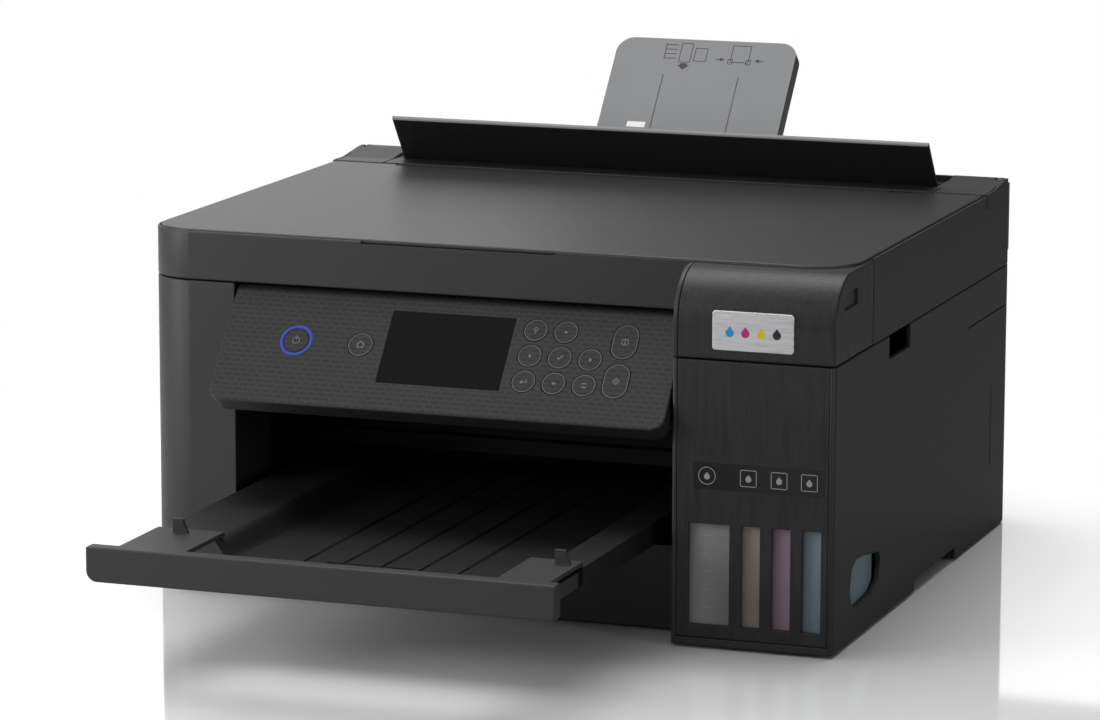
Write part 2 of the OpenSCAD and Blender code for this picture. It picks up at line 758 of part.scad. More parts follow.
// Hood over the ink caps: rounded front, right side and the thin frame at its left
module tank_hood() {
  top = rim_top - 0.4;
  t = 2.2;
  color("#343437") at_origin() {
    difference() {
      along_x(tank_x + fin_w + 0.5, body_w - wall + eps) difference() {
        hood_outline(0, top);
        hood_outline(t, top);
      }
      rise(0, body_h + 1) base_plan(-gap);
    }
    along_x(tank_x, tank_x + fin_w) hood_outline(0, top);
    along_x(tank_x + fin_w - eps, tank_x + fin_w + 0.6) intersection() {
      hood_outline(1, top);
      translate([-tank_out, skirt_z]) square([tank_out, hood_r + skirt_h]);
    }
    difference() {
      union() {
        along_x(body_w - wall, body_w) union() {
          hood_outline(0, top);
          translate([-2, skirt_z]) square([hood_y1 + 2, top - skirt_z]);
        }
        block([body_w - front_r - 1, -1, top - t], [body_w - wall + eps, front_r, top]);
      }
      difference() {
        rise(top - t - 1, body_h + 1) base_plan(-gap);
        block([body_w - wall, 0, 0], [body_w + 1, hood_y1, rim_top - 0.4]);
      }
      rise(body_h - lid_t - 0.4, body_h) base_plan(lid_inset - gap);
      // finger recess in the side
      along_x(body_w - 1.2, body_w + 1) corner_rect([recess_y0, recess_z],
        [recess_y0 + 24, recess_z + recess_h], [2, 2, 3.5, 3.5]);
    }
  }
}

module hood_outline(t, top) {
  r = hood_r - t;
  cy = -tank_out + hood_r;
  cz = top - hood_r;
  intersection() {
    translate([cy, cz]) circle(r);
    translate([cy - r, cz]) square([r, r]);
  }
  translate([cy - r, skirt_z - (t ? 1 : 0)])
    square([r + tank_out - hood_r, cz - skirt_z + (t ? 1 : 0) + eps]);
  translate([cy - eps, skirt_z]) square([tank_out - hood_r + eps, top - t - skirt_z]);
}

recess_h = 8.4;
recess_y0 = -14;
recess_z = skirt_z + 25;

// Reading head of the scanner, across the glass
module scan_carriage() {
  x = glass_x0 + 6;
  color("#1f1f21") at_origin() difference() {
    union() {
      block([x, glass_y0 + 8, rod_z - 1], [x + 18, glass_y1 - 8, glass_top - glass_t - 2.6]);
      block([x, rod_y - 8, rod_z - 3.4], [x + 18, rod_y + 8, rod_z + 3.6]);
      for (y = [glass_y0 + 12, glass_y1 - 18])
        block([x + 4, y, base_z + base_t + 0.2], [x + 14, y + 6, rod_z]);
    }
    rod_x(x - 1, x + 19, rod_y, rod_z, rod_r + fit);
  }
}

module scan_rod() {
  color("#c4c7ca") at_origin() rod_x(10, rod_x1 + 4, rod_y, rod_z, rod_r);
}

// Document lid with a barrel along its rear edge and a finger notch at the front
module document_lid() {
  r = inner(front_r, lid_inset);
  color("#3a3a3d") at_origin() difference() {
    union() {
      rise(body_h - lid_t, body_h)
        corner_rect([lid_x0, lid_inset], [lid_x1, lid_y], [r, r, 0, 0]);
      rod_x(lid_x0, lid_x1, lid_y, lid_hinge_z, barrel_r);
    }
    // pocket for the mat
    block([glass_x0 + 4, glass_y0 + 4, body_h - lid_t - 1],
      [glass_x1 - 4, glass_y1 - 4, body_h - 3]);
    block([notch_x0, 0, body_h - lid_t - 1], [notch_x0 + lid_notch_w, lid_inset + 3, body_h - 2]);
    for (side = [0, 1]) mirror_x(side, mid_x) {
      block([lug_x0 - gap, lid_y - barrel_r - 0.6, 0], [lug_x1 + gap, lid_y + 9, body_h + 1]);
      rod_x(lug_x0 - 8, lug_x1 + 8, lid_y, lid_hinge_z, lid_pin_r + fit);
    }
  }
}

module lid_mat() {
  color("#e8e8e6") at_origin()
    block([glass_x0 + 5, glass_y0 + 5, glass_top + 0.1], [glass_x1 - 5, glass_y1 - 5, body_h - 3]);
}

module lid_hinge_pins() {
  color("#b9bcc0") at_origin() for (side = [0, 1]) mirror_x(side, mid_x)
    rod_x(lug_x0 - 7.8, lug_x1 + 7.8, lid_y, lid_hinge_z, lid_pin_r);
}

// ---------- control panel ----------
skin = 2;
// lengths across the panel keep their share of its width
function across(d) = d * (panel_x1 - panel_x0) / 239.4;
lcd_x0 = panel_x0 + across(86.7);
lcd_w = across(65);
lcd_s = 7;
lcd_l = 41;
ring_x = panel_x0 + across(39.1);
home_x = panel_x0 + across(73.7);
round_s = 27.5;
ring_r = 8.8;
home_r = 6.4;
power_r = 6.6;
key_x0 = panel_x0 + across(163.2);
key_s0 = 13;
bar_x = key_x0 + 3 * key_pitch;
bar_w = 13;
bar_l = 19;
bar_s = [16.4, 38.3];
key_rise = 0.12;

// Hole for a round key at column i and row j of the block
module key_hole(i, j) {
  translate([key_x0 + i * key_pitch, -key_s0 - j * key_row, -skin - 1])
    cylinder(r = key_d / 2 + slide_gap, h = skin + 2);
}

module bar_plan(s, grow) {
  r = bar_w / 2 - 0.1 + grow;
  corner_rect([bar_x - bar_w / 2 - grow, -s - bar_l / 2 - grow],
    [bar_x + bar_w / 2 + grow, -s + bar_l / 2 + grow], [r, r, r, r]);
}

// Tilting panel: roll along its top, openings for screen and keys, stub pins
module control_panel() {
  color("#3b3b3e") at_origin() on_panel() {
    difference() {
      union() {
        rise(-panel_t, 0)
          corner_rect([panel_x0, -panel_l], [panel_x1, 0], [7, 7, 0, 0]);
        rod_x(panel_x0, panel_x1, 0, -panel_r, panel_r);
      }
      block([panel_x0 + 2, 2 - panel_l, -panel_t + 1.6], [panel_x1 - 2, -panel_r, -skin]);
      // screen opening with its ledge
      block([lcd_x0, -lcd_s - lcd_l, -1.2], [lcd_x0 + lcd_w, -lcd_s, 1]);
      block([lcd_x0 + 2, -lcd_s - lcd_l + 2, -skin - 1], [lcd_x0 + lcd_w - 2, -lcd_s - 2, 0]);
      // lit ring, power and home keys
      translate([ring_x, -round_s, -1]) cylinder(r = ring_r, h = 2);
      translate([ring_x, -round_s, -skin - 1]) cylinder(r = power_r + slide_gap, h = skin + 2);
      translate([home_x, -round_s, -skin - 1]) cylinder(r = home_r + slide_gap, h = skin + 2);
      for (i = [0 : 2], j = [0 : 2])
        if (i < 2 || j > 0) key_hole(i, j);
      for (s = bar_s)
        rise(-skin - 1, 1) bar_plan(s, slide_gap);
    }
    for (x = [column_w - 2, panel_x1 - 1])
      rod_x(x, x + panel_gap + 3, 0, -panel_r, panel_pin_r);
  }
}

module lcd_screen() {
  color("#101216") at_origin() on_panel() {
    block([lcd_x0 + 0.1, -lcd_s - lcd_l + 0.1, -1.2], [lcd_x0 + lcd_w - 0.1, -lcd_s - 0.1, -0.1]);
    block([lcd_x0 + 2.2, -lcd_s - lcd_l + 2.2, -5], [lcd_x0 + lcd_w - 2.2, -lcd_s - 2.2, -1.1]);
  }
}

module power_ring() {
  color("#5064c8") at_origin() on_panel() difference() {
    translate([ring_x, -round_s, -1]) cylinder(r = ring_r - 0.1, h = 1.1);
    translate([ring_x, -round_s, -2]) cylinder(r = power_r + slide_gap, h = 3);
  }
}

// Round key cap with the flange that holds it in and its stem
module round_key(x, s, r) {
  at_origin() on_panel() translate([x, -s, 0]) {
    translate([0, 0, -skin - 0.6]) cylinder(r = r, h = skin + 0.6 + key_rise);
    translate([0, 0, -skin - 1.4]) cylinder(r = r + 0.9, h = 1.25);
    translate([0, 0, 0.5 + key_travel + 1.6 - panel_t])
      cylinder(r = 1.6, h = panel_t - skin - 2.8 - key_travel);
  }
}

module grid_key(i, j) {
  round_key(key_x0 + i * key_pitch, key_s0 + j * key_row, key_d / 2);
}

module bar_key(s) {
  at_origin() on_panel() {
    rise(-skin - 0.6, key_rise) bar_plan(s, 0);
    rise(-skin - 1.4, -skin - 0.15) bar_plan(s, 0.9);
    translate([bar_x, -s, 0.5 + key_travel + 1.6 - panel_t])
      cylinder(r = 1.6, h = panel_t - skin - 2.8 - key_travel);
  }
}

module power_button() {
  color("#232326") round_key(ring_x, round_s, power_r);
}

module home_button() {
  color("#232326") round_key(home_x, round_s, home_r);
}

module key_help() {
  color("#2a2a2c") grid_key(0, 0);
}

module key_up() {
  color("#2a2a2c") grid_key(1, 0);
}

module key_left() {
  color("#2a2a2c") grid_key(0, 1);
}

module key_ok() {
  color("#2a2a2c") grid_key(1, 1);
}

module key_right() {
  color("#2a2a2c") grid_key(2, 1);
}

module key_back() {
  color("#2a2a2c") grid_key(0, 2);
}

module key_down() {
  color("#2a2a2c") grid_key(1, 2);
}

module key_duplex() {
  color("#2a2a2c") grid_key(2, 2);
}

module key_stop() {
  color("#2a2a2c") bar_key(bar_s[0]);
}

module key_start() {
  color("#2a2a2c") bar_key(bar_s[1]);
}

// ---------- output tray ----------
shelf_x0 = tray_x0 + 32.8;
shelf_x1 = tray_x1 - 16.8;
curve_w = 12;
tray_y0 = -tray_out;
tray_y1 = tray_y0 + tray_l;
floor_top = tray_z + tray_t;
arm_len = 122;
deck_in = 2;

function ease(t) = t * t * (3 - 2 * t);
function bend(x, way, top) = [for (i = [0 : 8])
  [x + way * curve_w * i / 8, top - (top - floor_top) * ease(i / 8)]];

function rev(list) = [for (i = [len(list) - 1 : -1 : 0]) list[i]];

// Section of the tray: shelf, curve, floor, curve, shelf
module tray_section() {
  difference() {
    polygon(concat([[tray_x0, tray_z], [tray_x0, rail_top]], bend(shelf_x0, 1, rail_top),
      rev(bend(shelf_x1, -1, rail_top)), [[tray_x1, rail_top], [tray_x1, tray_z]]));
    polygon([[tray_x0 + tray_t, tray_z + 1], [tray_x0 + tray_t, rail_top - tray_t],
      [shelf_x0 - 1.5, rail_top - tray_t], [shelf_x0 + 4.5, tray_z + 1]]);
    polygon([[tray_x1 - tray_t, tray_z + 1], [tray_x1 - tray_t, rail_top - tray_t],
      [shelf_x1 + 1.5, rail_top - tray_t], [shelf_x1 - 4.5, tray_z + 1]]);
    translate([tray_x0 + 8, tray_z - 1]) square([shelf_x0 - tray_x0 - 8, 3]);
    translate([shelf_x1, tray_z - 1]) square([tray_x1 - 7 - shelf_x1, 3]);
    for (i = [0 : 4])
      translate([sheet_x + 6.3 + (i - 2) * groove_pitch - 0.8, floor_top - 0.7]) square([1.6, 2]);
  }
}

// First stage of the tray, sliding in and out through the opening
module output_tray() {
  color("#2e2e31") at_origin() difference() {
    along_y(tray_y0, tray_y1) tray_section();
    // thumb recess in the middle of the front edge
    block([sheet_x - 22, tray_y0 - 1, floor_top - 1], [sheet_x + 22, tray_y0 + 7, floor_top + 1]);
  }
}

// Second stage: lip at the end with two decks and two arms inside the first stage
module paper_stop() {
  y1 = front_y + lip_t;
  color("#3a3a3d") at_origin() {
    along_y(front_y, y1) corner_rect([lip_x0, lip_z], [lip_x1, lip_z + lip_h], [5.5, 2, 1, 1]);
    for (side = [0, 1]) mirror_x(side, sheet_x) {
      x1 = tray_x0 + (side ? 27 : 35.8);
      block([tray_x0 + 1, y1 - 1, deck_z], [x1, tray_y0 + deck_in, deck_z + deck_t]);
      block([tray_x0 + tray_t + slide_gap, y1 - 1, tray_z + 1 + slide_gap],
        [tray_x0 + 13, y1 + arm_len, rail_top - tray_t - slide_gap]);
    }
    // upright tab near the end of each deck, with a sloping web on its right
    for (x = [tray_x0 + 13, tray_x1 - 11.5]) {
      block([x, tray_y0 - 8, deck_z + deck_t - eps], [x + 5.5, tray_y0 - 6, deck_z + deck_t + 7]);
      along_y(tray_y0 - 8, tray_y0 - 6) polygon([[x + 5, deck_z + deck_t - eps],
        [x + 8, deck_z + deck_t - eps], [x + 5, deck_z + deck_t + 6.5]]);
    }
  }
}

// ---------- ink tanks ----------
tank_top = tank_z0 + tank_h;
neck_top = tank_top + neck_h;
cap_pin_r = 1.2;
cap_hinge_y = cap_y + neck_r + 5.5;
lug_w = 4;

// Tank with a filler neck and the lug of its cap's hinge
module tank_shape(x, w) {
  at_origin() difference() {
    union() {
      block([x, tank_y0, tank_z0], [x + w, tank_y0 + tank_d, tank_top]);
      translate([x + w / 2, cap_y, tank_top - eps]) cylinder(r = neck_r, h = neck_h);
      along_x(x + w / 2 - lug_w / 2, x + w / 2 + lug_w / 2) {
        translate([cap_hinge_y, neck_top]) circle(2.4);
        translate([cap_hinge_y - 2.4, tank_top - eps]) square([4.8, neck_h]);
      }
    }
    block([x + tank_wall, tank_y0 + tank_wall, tank_z0 + tank_wall],
      [x + w - tank_wall, tank_y0 + tank_d - tank_wall, tank_top - tank_wall]);
    translate([x + w / 2, cap_y, tank_top - 4]) cylinder(r = neck_r - 1.4, h = neck_h + 6);
    rod_x(x, x + w, cap_hinge_y, neck_top, cap_pin_r + fit);
  }
}

// Cap over the neck with a lever in front and two hinge arms behind
module cap_shape(x, w) {
  cx = x + w / 2;
  half = lug_w / 2 + 0.3;
  at_origin() {
    difference() {
      union() {
        translate([cx, cap_y, neck_top - 1.5]) cylinder(r = neck_r + 1.6, h = 4);
        block([cx - 4, cap_y - 18, neck_top + 0.4], [cx + 4, cap_y, neck_top + 2.5]);
        block([cx - 4, cap_y - 18, neck_top - 2], [cx + 4, cap_y - 16, neck_top + 1]);
        block([cx - 4.4, cap_y, neck_top + 0.5], [cx + 4.4, cap_hinge_y - 2.2, neck_top + 2.5]);
      }
      translate([cx, cap_y, neck_top - 3]) cylinder(r = neck_r + 0.4, h = 3.1);
      block([cx - half, cap_hinge_y - 3.2, 0], [cx + half, cap_hinge_y + 4, body_h]);
    }
    for (a = [[-4.4, -half], [half, 4.4]])
      along_x(cx + a[0], cx + a[1]) {
        translate([cap_hinge_y, neck_top]) circle(2.4);
        translate([cap_hinge_y - 4, neck_top + 0.5]) square([4, 1.9]);
      }
    rod_x(cx - 4.2, cx + 4.2, cap_hinge_y, neck_top, cap_pin_r);
  }
}

function colour_at(i) = colour_x + i * (colour_w + tank_pitch_gap());

module tank_black() {
  color("#2a2a2a", 0.8) tank_shape(black_x, black_w);
}

module tank_yellow() {
  color("#8a7f45", 0.8) tank_shape(colour_at(0), colour_w);
}

module tank_magenta() {
  color("#7a4460", 0.8) tank_shape(colour_at(1), colour_w);
}

module tank_cyan() {
  color("#3f6a80", 0.8) tank_shape(colour_at(2), colour_w);
}

module cap_black() {
  color("#1c1c1c") cap_shape(black_x, black_w);
}

module cap_yellow() {
  color("#d8c23a") cap_shape(colour_at(0), colour_w);
}

module cap_magenta() {
  color("#c2407a") cap_shape(colour_at(1), colour_w);
}

module cap_cyan() {
  color("#2f8fc0") cap_shape(colour_at(2), colour_w);
}

// ---------- print engine ----------
rail_y = belt_y + 9;
guide_y = feed_y - 22;
guide_z = belt_z + 6;
guide_r = 4;
platen_x0 = side_x0 + 31;
platen_x1 = side_x1 - 53;
platen_y0 = feed_y - 78;
platen_y1 = feed_y - 12;
platen_z = feed_z - 16;
platen_pitch = (platen_x1 - platen_x0 - 15.6) / 11;
feed_pitch = (side_x1 - side_x0 - 84) / 4;
eject_pitch = (side_x1 - side_x0 - 92) / 8;
damper_pitch = (carriage_w - 8.4) / 4;
plate_y1 = feed_y + 56;
plate_top = belt_z + 24;
shaft_r = 3;
pick_r = 11;
pick_s = hopper_len - 14;
pick_y = hopper_y - pick_s * cos(support_angle) - (pick_r + 1) * sin(support_angle);
pick_z = body_h - pick_s * sin(support_angle) + (pick_r + 1) * cos(support_angle);
pick_shaft_r = 2.5;
gear_x0 = 14;
gear_x1 = 20;
idler_y = feed_y - gear_m * (feed_teeth + idler_teeth) / 2;
head_x1 = side_x1 - 6;
head_x0 = head_x1 - carriage_w;

// Gear outline about the origin, with one tooth or gap on the first axis
module gear_outline(n, half_turn) {
  rp = gear_m * n / 2;
  rows = [[rp - 1.25 * gear_m, 1.08], [rp, 0.66], [rp + 0.9 * gear_m, 0.27]];
  polygon([for (k = [0 : n - 1]) let (a = 360 * (k + half_turn / 2) / n)
    for (i = [0 : 5]) let (p = rows[i < 3 ? i : 5 - i], way = i < 3 ? -1 : 1)
      let (b = a + way * p[1] * gear_m / p[0] * 180 / PI)
        [p[0] * cos(b), p[0] * sin(b)]]);
}

// Sheet-metal frame: two side plates, rail sheet, guide rod, bar under the platen
module engine_frame() {
  color("#a7aaad") at_origin() {
    difference() {
      union() {
        for (x = [side_x0, side_x1])
          block([x, plate_y0, foot_h + floor_t], [x + metal_t, plate_y1, plate_top]);
        block([side_x0, rail_y, belt_z - 18], [side_x1 + 1, rail_y + metal_t, belt_z + 22]);
        block([side_x0, rail_y - 9, belt_z + 22 - metal_t], [side_x1 + 1, rail_y + 1, belt_z + 22]);
        block([side_x0, rail_y, belt_z - 18], [side_x1 + 1, rail_y + 9, belt_z - 18 + metal_t]);
        block([side_x0, platen_y0 - 6, platen_z - metal_t], [side_x1 + 1, platen_y1 - 4, platen_z]);
        block([side_x0, platen_y0 - 6, platen_z - 8], [side_x1 + 1, platen_y0 - 6 + metal_t, platen_z]);
      }
      for (y = [feed_y, eject_y])
        rod_x(side_x0 - 1, side_x1 + 3, y, feed_z, shaft_r + fit);
      rod_x(side_x0 - 1, side_x1 + 3, pick_y, pick_z, pick_shaft_r + fit);
      along_y(rail_y - 1, rail_y + 3) translate([pulley_x0, belt_z]) circle(3);
      // the tray passes between the plates
      block([side_x0 + 3, plate_y0 - 1, 0], [side_x1 - 3, plate_y1 + 1, platen_z - 9]);
    }
    rod_x(side_x0 + 0.2, side_x1 + 1, guide_y, guide_z, guide_r);
    rod_x(gear_x0 - 0.5, side_x0 + 1, idler_y, feed_z, shaft_r);
    along_y(belt_y - 4.4, rail_y + 1) translate([pulley_x1, belt_z]) circle(2);
  }
}

// Print carriage with its four ink dampers and the nozzle plate under it
module print_carriage() {
  y0 = guide_y - 46;
  color("#1d1d20") at_origin() difference() {
    union() {
      block([head_x0, y0, feed_z + 10], [head_x1, guide_y + 12, feed_z + 40]);
      block([head_x0 + 4, y0 + 30, feed_z + 39], [head_x1 - 4, guide_y + 12, guide_z + 7]);
      block([head_x0 + 8, y0 + 8, feed_z + 5], [head_x1 - 8, y0 + 38, feed_z + 11]);
      for (i = [0 : 3])
        block([head_x0 + 5 + i * damper_pitch, y0 + 3, feed_z + 39],
          [head_x0 + 2.6 + (i + 1) * damper_pitch, y0 + 27, feed_z + 46]);
      // clip on the lower run of the belt
      block([head_x0 + 15, guide_y + 11, belt_z - pulley_r - 6], [head_x0 + 25, belt_y + 2,
        belt_z - pulley_r - 1.6]);
    }
    rod_x(head_x0 - 1, head_x1 + 1, guide_y, guide_z, guide_r + fit);
  }
}

module belt_run(r) {
  for (x = [pulley_x0, pulley_x1]) translate([x, belt_z]) circle(r);
  translate([pulley_x0, belt_z - r]) square([pulley_x1 - pulley_x0, 2 * r]);
}

module carriage_belt() {
  color("#151515") at_origin() along_y(belt_y - 2.5, belt_y + 2.5) difference() {
    belt_run(pulley_r + 1.2);
    belt_run(pulley_r + fit);
  }
}

module carriage_motor() {
  color("#8e9195") at_origin() difference() {
    union() {
      along_y(rail_y + metal_t, rail_y + 21) translate([pulley_x0, belt_z]) circle(12);
      along_y(rail_y + 20, rail_y + 23) translate([pulley_x0, belt_z]) circle(4);
    }
    along_y(rail_y, rail_y + 18) translate([pulley_x0, belt_z]) circle(1.5 + fit);
  }
}

module pulley_disc(x) {
  translate([x, belt_z]) circle(pulley_r);
}

// Flanged pulley on the motor shaft
module motor_pulley() {
  color("#c9ccd0") at_origin() {
    along_y(belt_y - 3, belt_y + 3) pulley_disc(pulley_x0);
    for (y = [belt_y - 3.8, belt_y + 3])
      along_y(y, y + 0.8) translate([pulley_x0, belt_z]) circle(pulley_r + 1.6);
    along_y(belt_y + 3, rail_y + 17) translate([pulley_x0, belt_z]) circle(1.5);
  }
}

// Flanged pulley turning on a pin of the frame
module idler_pulley() {
  color("#c9ccd0") at_origin() difference() {
    union() {
      along_y(belt_y - 3, belt_y + 3) pulley_disc(pulley_x1);
      for (y = [belt_y - 3.8, belt_y + 3])
        along_y(y, y + 0.8) translate([pulley_x1, belt_z]) circle(pulley_r + 1.6);
    }
    along_y(belt_y - 5, belt_y + 5) translate([pulley_x1, belt_z]) circle(2 + fit);
  }
}

// Ribbed bed that the sheet passes over
module platen() {
  color("#222224") at_origin() difference() {
    union() {
      block([platen_x0, platen_y0, platen_z], [platen_x1, platen_y1, platen_z + 10]);
      for (i = [0 : 11])
        block([platen_x0 + 6 + i * platen_pitch, platen_y0 + 2, platen_z + 9],
          [platen_x0 + 8 + i * platen_pitch, platen_y1 - 2, platen_z + 13]);
    }
    block([platen_x0 + 3, platen_y0 + 22, platen_z + 6], [platen_x1 - 3, platen_y0 + 44, platen_z + 14]);
  }
}

// Feed roller with rubber sleeves and the gear on its left end
module feed_roller() {
  color("#55585b") at_origin() {
    rod_x(gear_x0, side_x1 + 4, feed_y, feed_z, shaft_r);
    for (i = [0 : 3])
      rod_x(side_x0 + 34 + i * feed_pitch, side_x0 + 34 + (i + 0.8) * feed_pitch, feed_y, feed_z, feed_r);
    along_x(gear_x0, gear_x1) translate([feed_y, feed_z]) gear_outline(feed_teeth, 0);
  }
}

module eject_roller() {
  color("#3d3f42") at_origin() {
    rod_x(gear_x0, side_x1 + 4, eject_y, feed_z, shaft_r);
    for (i = [0 : 7])
      rod_x(side_x0 + 38 + i * eject_pitch, side_x0 + 50 + i * eject_pitch, eject_y, feed_z, eject_r);
    along_x(gear_x0, gear_x1) translate([eject_y, feed_z]) gear_outline(feed_teeth, 1);
  }
}

module idler_gear() {
  color("#d9d9d4") at_origin() along_x(gear_x0 + 0.3, gear_x1 - 0.3) translate([idler_y, feed_z])
    difference() {
      gear_outline(idler_teeth, 1);
      circle(shaft_r + fit);
      for (a = [0 : 60 : 300]) rotate(a) translate([18, 0]) circle(6);
    }
}

// Roller that takes a sheet off the stack
module pickup_roller() {
  color("#4a4c4f") at_origin() {
    rod_x(side_x0 - 2, side_x1 + 4, pick_y, pick_z, pick_shaft_r);
    rod_x(sheet_x - 20, sheet_x + 20, pick_y, pick_z, pick_r);
  }
}

// Main circuit board on four posts at the left wall
module main_board() {
  color("#2f6b45") at_origin() {
    y0 = feed_y - 130;
    z0 = sill_z + 6.3;
    z1 = plate_top - 2;
    block([4.5, y0, z0], [6.1, y0 + 155, z1]);
    for (y = [y0 + 6, y0 + 149], z = [z0 + 6, z1 - 6])
      rod_x(wall, 4.6, y, z, 3);
    for (c = [[20, z1 - 30, 16, 16], [60, z1 - 26, 10, 12], [90, z1 - 30, 22, 14],
        [30, z0 + 22, 12, 20], [126, z0 + 10, 14, 30]])
      block([6, y0 + c[0], c[1]], [9.5, y0 + c[0] + c[2], c[1] + c[3]]);
  }
}

// Power supply box with the mains inlet in the rear wall
module power_supply() {
  color("#3c3e40") at_origin() difference() {
    union() {
      block([16, plate_y1 + 4, foot_h + floor_t], [60, body_d - 8, 48]);
      block([inlet_x0, body_d - 9, inlet_z0], [inlet_x1, body_d - 0.6, inlet_z1]);
    }
    along_y(body_d - 14, body_d + 1) {
      for (x = [inlet_x0 + 10.5, inlet_x1 - 10.5])
        translate([x, (inlet_z0 + inlet_z1) / 2]) circle(5.2);
      translate([inlet_x0 + 10.5, (inlet_z0 + inlet_z1) / 2 - 3.6]) square([inlet_x1 - inlet_x0 - 21, 7.2]);
    }
    for (i = [0 : 7])
      block([22 + i * 4.4, plate_y1 + 12, 46], [24 + i * 4.4, body_d - 30, 50]);
  }
}

lower_case();
outer_case();
rubber_feet();
tank_fascia();
tray_guide();
rear_cover();
feeder_frame();
hopper();
edge_guide_left();
edge_guide_right();
feeder_flap();
paper_support();
hinge_pins();
scanner_base();
scanner_top_frame();
platen_glass();
tank_hood();
scan_carriage();
scan_rod();
document_lid();
lid_mat();
lid_hinge_pins();
control_panel();
lcd_screen();
power_ring();
power_button();
home_button();
key_help();
key_up();
key_left();
key_ok();
key_right();
key_back();
key_down();
key_duplex();
key_stop();
key_start();
output_tray();
paper_stop();
tank_black();
tank_yellow();
tank_magenta();
tank_cyan();
cap_black();
cap_yellow();
cap_magenta();
cap_cyan();
engine_frame();
print_carriage();
carriage_belt();
carriage_motor();
motor_pulley();
idler_pulley();
platen();
feed_roller();
eject_roller();
idler_gear();
pickup_roller();
main_board();
power_supply();
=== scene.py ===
# %% [markdown]
# A home printer with a flatbed scanner on top and refillable ink tanks at its right.
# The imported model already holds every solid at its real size, so this lesson only dresses it:
# materials first, then the small parts that solids are too coarse for, then light and camera.

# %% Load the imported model
import bpy
import bmesh
import json
import math
from mathutils import Matrix, Vector

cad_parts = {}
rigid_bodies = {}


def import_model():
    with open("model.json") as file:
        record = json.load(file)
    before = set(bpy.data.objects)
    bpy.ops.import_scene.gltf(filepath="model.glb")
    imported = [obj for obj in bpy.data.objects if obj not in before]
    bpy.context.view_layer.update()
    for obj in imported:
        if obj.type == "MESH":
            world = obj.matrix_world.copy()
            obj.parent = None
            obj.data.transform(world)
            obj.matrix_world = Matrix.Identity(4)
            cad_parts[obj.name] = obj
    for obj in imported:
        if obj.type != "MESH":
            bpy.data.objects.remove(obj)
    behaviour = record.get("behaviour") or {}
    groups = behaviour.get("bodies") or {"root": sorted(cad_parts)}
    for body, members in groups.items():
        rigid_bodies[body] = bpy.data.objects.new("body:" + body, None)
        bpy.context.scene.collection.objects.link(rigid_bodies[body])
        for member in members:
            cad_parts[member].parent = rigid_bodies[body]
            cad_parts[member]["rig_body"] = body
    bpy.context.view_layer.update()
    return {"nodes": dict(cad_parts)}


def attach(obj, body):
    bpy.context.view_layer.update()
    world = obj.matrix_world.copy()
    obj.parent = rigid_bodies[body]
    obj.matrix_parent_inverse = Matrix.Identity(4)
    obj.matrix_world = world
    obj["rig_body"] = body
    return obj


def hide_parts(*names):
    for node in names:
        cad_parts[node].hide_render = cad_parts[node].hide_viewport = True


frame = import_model()
nodes = frame["nodes"]

# %% [markdown]
# The sizes below are in millimetres, counted from the left side, the front plane and the floor,
# which is how a maker would read them off a drawing. One small helper turns them into the metres
# of the scene. Four more frames lie on the control panel, the feeder's slope, the upright fronts
# and the open flap, so that what stands on them can be drawn flat.

# %% Places on the printer
MM = 0.001
MID_X, MID_Y = 187.5, 86.8914
PANEL_TILT, PANEL_THICK = math.radians(51), 6
SLOPE = math.radians(50)
FLAP_TILT = math.radians(127.5)
RIGHT_SIDE, TANK_LEFT, TANK_FRONT = 375.0, 293.0, 27.3
CASE_BOTTOM, CASE_TOP, TANK_TOP, LID_TOP = 1.2, 161.0, 142.9, 187.0


def spot(x, y, z):
    return Vector(((x - MID_X) * MM, (y - MID_Y) * MM, z * MM))


def panel_frame():
    turn = Matrix.Rotation(PANEL_TILT, 4, "X")
    out = Matrix.Translation((0, 0, PANEL_THICK * MM))
    return Matrix.Translation(spot(0, 6, 154.5)) @ turn @ out


def slope_frame():
    return Matrix.Translation(spot(0, 296, LID_TOP)) @ Matrix.Rotation(SLOPE, 4, "X")


def upright_frame():
    return Matrix.Translation(spot(0, 0, 0)) @ Matrix.Rotation(math.radians(90), 4, "X")


def flap_frame():
    return Matrix.Translation(spot(0, 282, 184.5)) @ Matrix.Rotation(FLAP_TILT, 4, "X")


print("panel face starts at", [round(v, 4) for v in (panel_frame() @ Vector((0, 0, 0)))])

# %% [markdown]
# Moulded plastic is never one flat colour. Its mould is spark eroded, which leaves a fine grain,
# and handling polishes it unevenly. So one function builds every plastic here: a soft change of
# tone, a soft change of gloss, and a fine bump, all from noise in object space. A Bevel node
# rounds the shading of sharp edges, as a real mould does, without adding any faces.

# %% A material's basic nodes
def begin(name):
    material = bpy.data.materials.new(name)
    material.use_nodes = True
    tree = material.node_tree
    shader = tree.nodes["Principled BSDF"]
    place = tree.nodes.new("ShaderNodeTexCoord")
    return material, tree, shader, place


def noise(tree, place, scale, detail=4.0, stretch=None):
    texture = tree.nodes.new("ShaderNodeTexNoise")
    texture.inputs["Scale"].default_value = scale
    texture.inputs["Detail"].default_value = detail
    if stretch:
        mapping = tree.nodes.new("ShaderNodeMapping")
        mapping.inputs["Scale"].default_value = stretch
        tree.links.new(place.outputs["Object"], mapping.inputs["Vector"])
        tree.links.new(mapping.outputs["Vector"], texture.inputs["Vector"])
    else:
        tree.links.new(place.outputs["Object"], texture.inputs["Vector"])
    return texture.outputs["Fac"]


def spread(tree, value, low, high):
    ramp = tree.nodes.new("ShaderNodeMapRange")
    ramp.inputs["From Min"].default_value = 0.3
    ramp.inputs["From Max"].default_value = 0.7
    ramp.inputs["To Min"].default_value = low
    ramp.inputs["To Max"].default_value = high
    tree.links.new(value, ramp.inputs["Value"])
    return ramp.outputs["Result"]


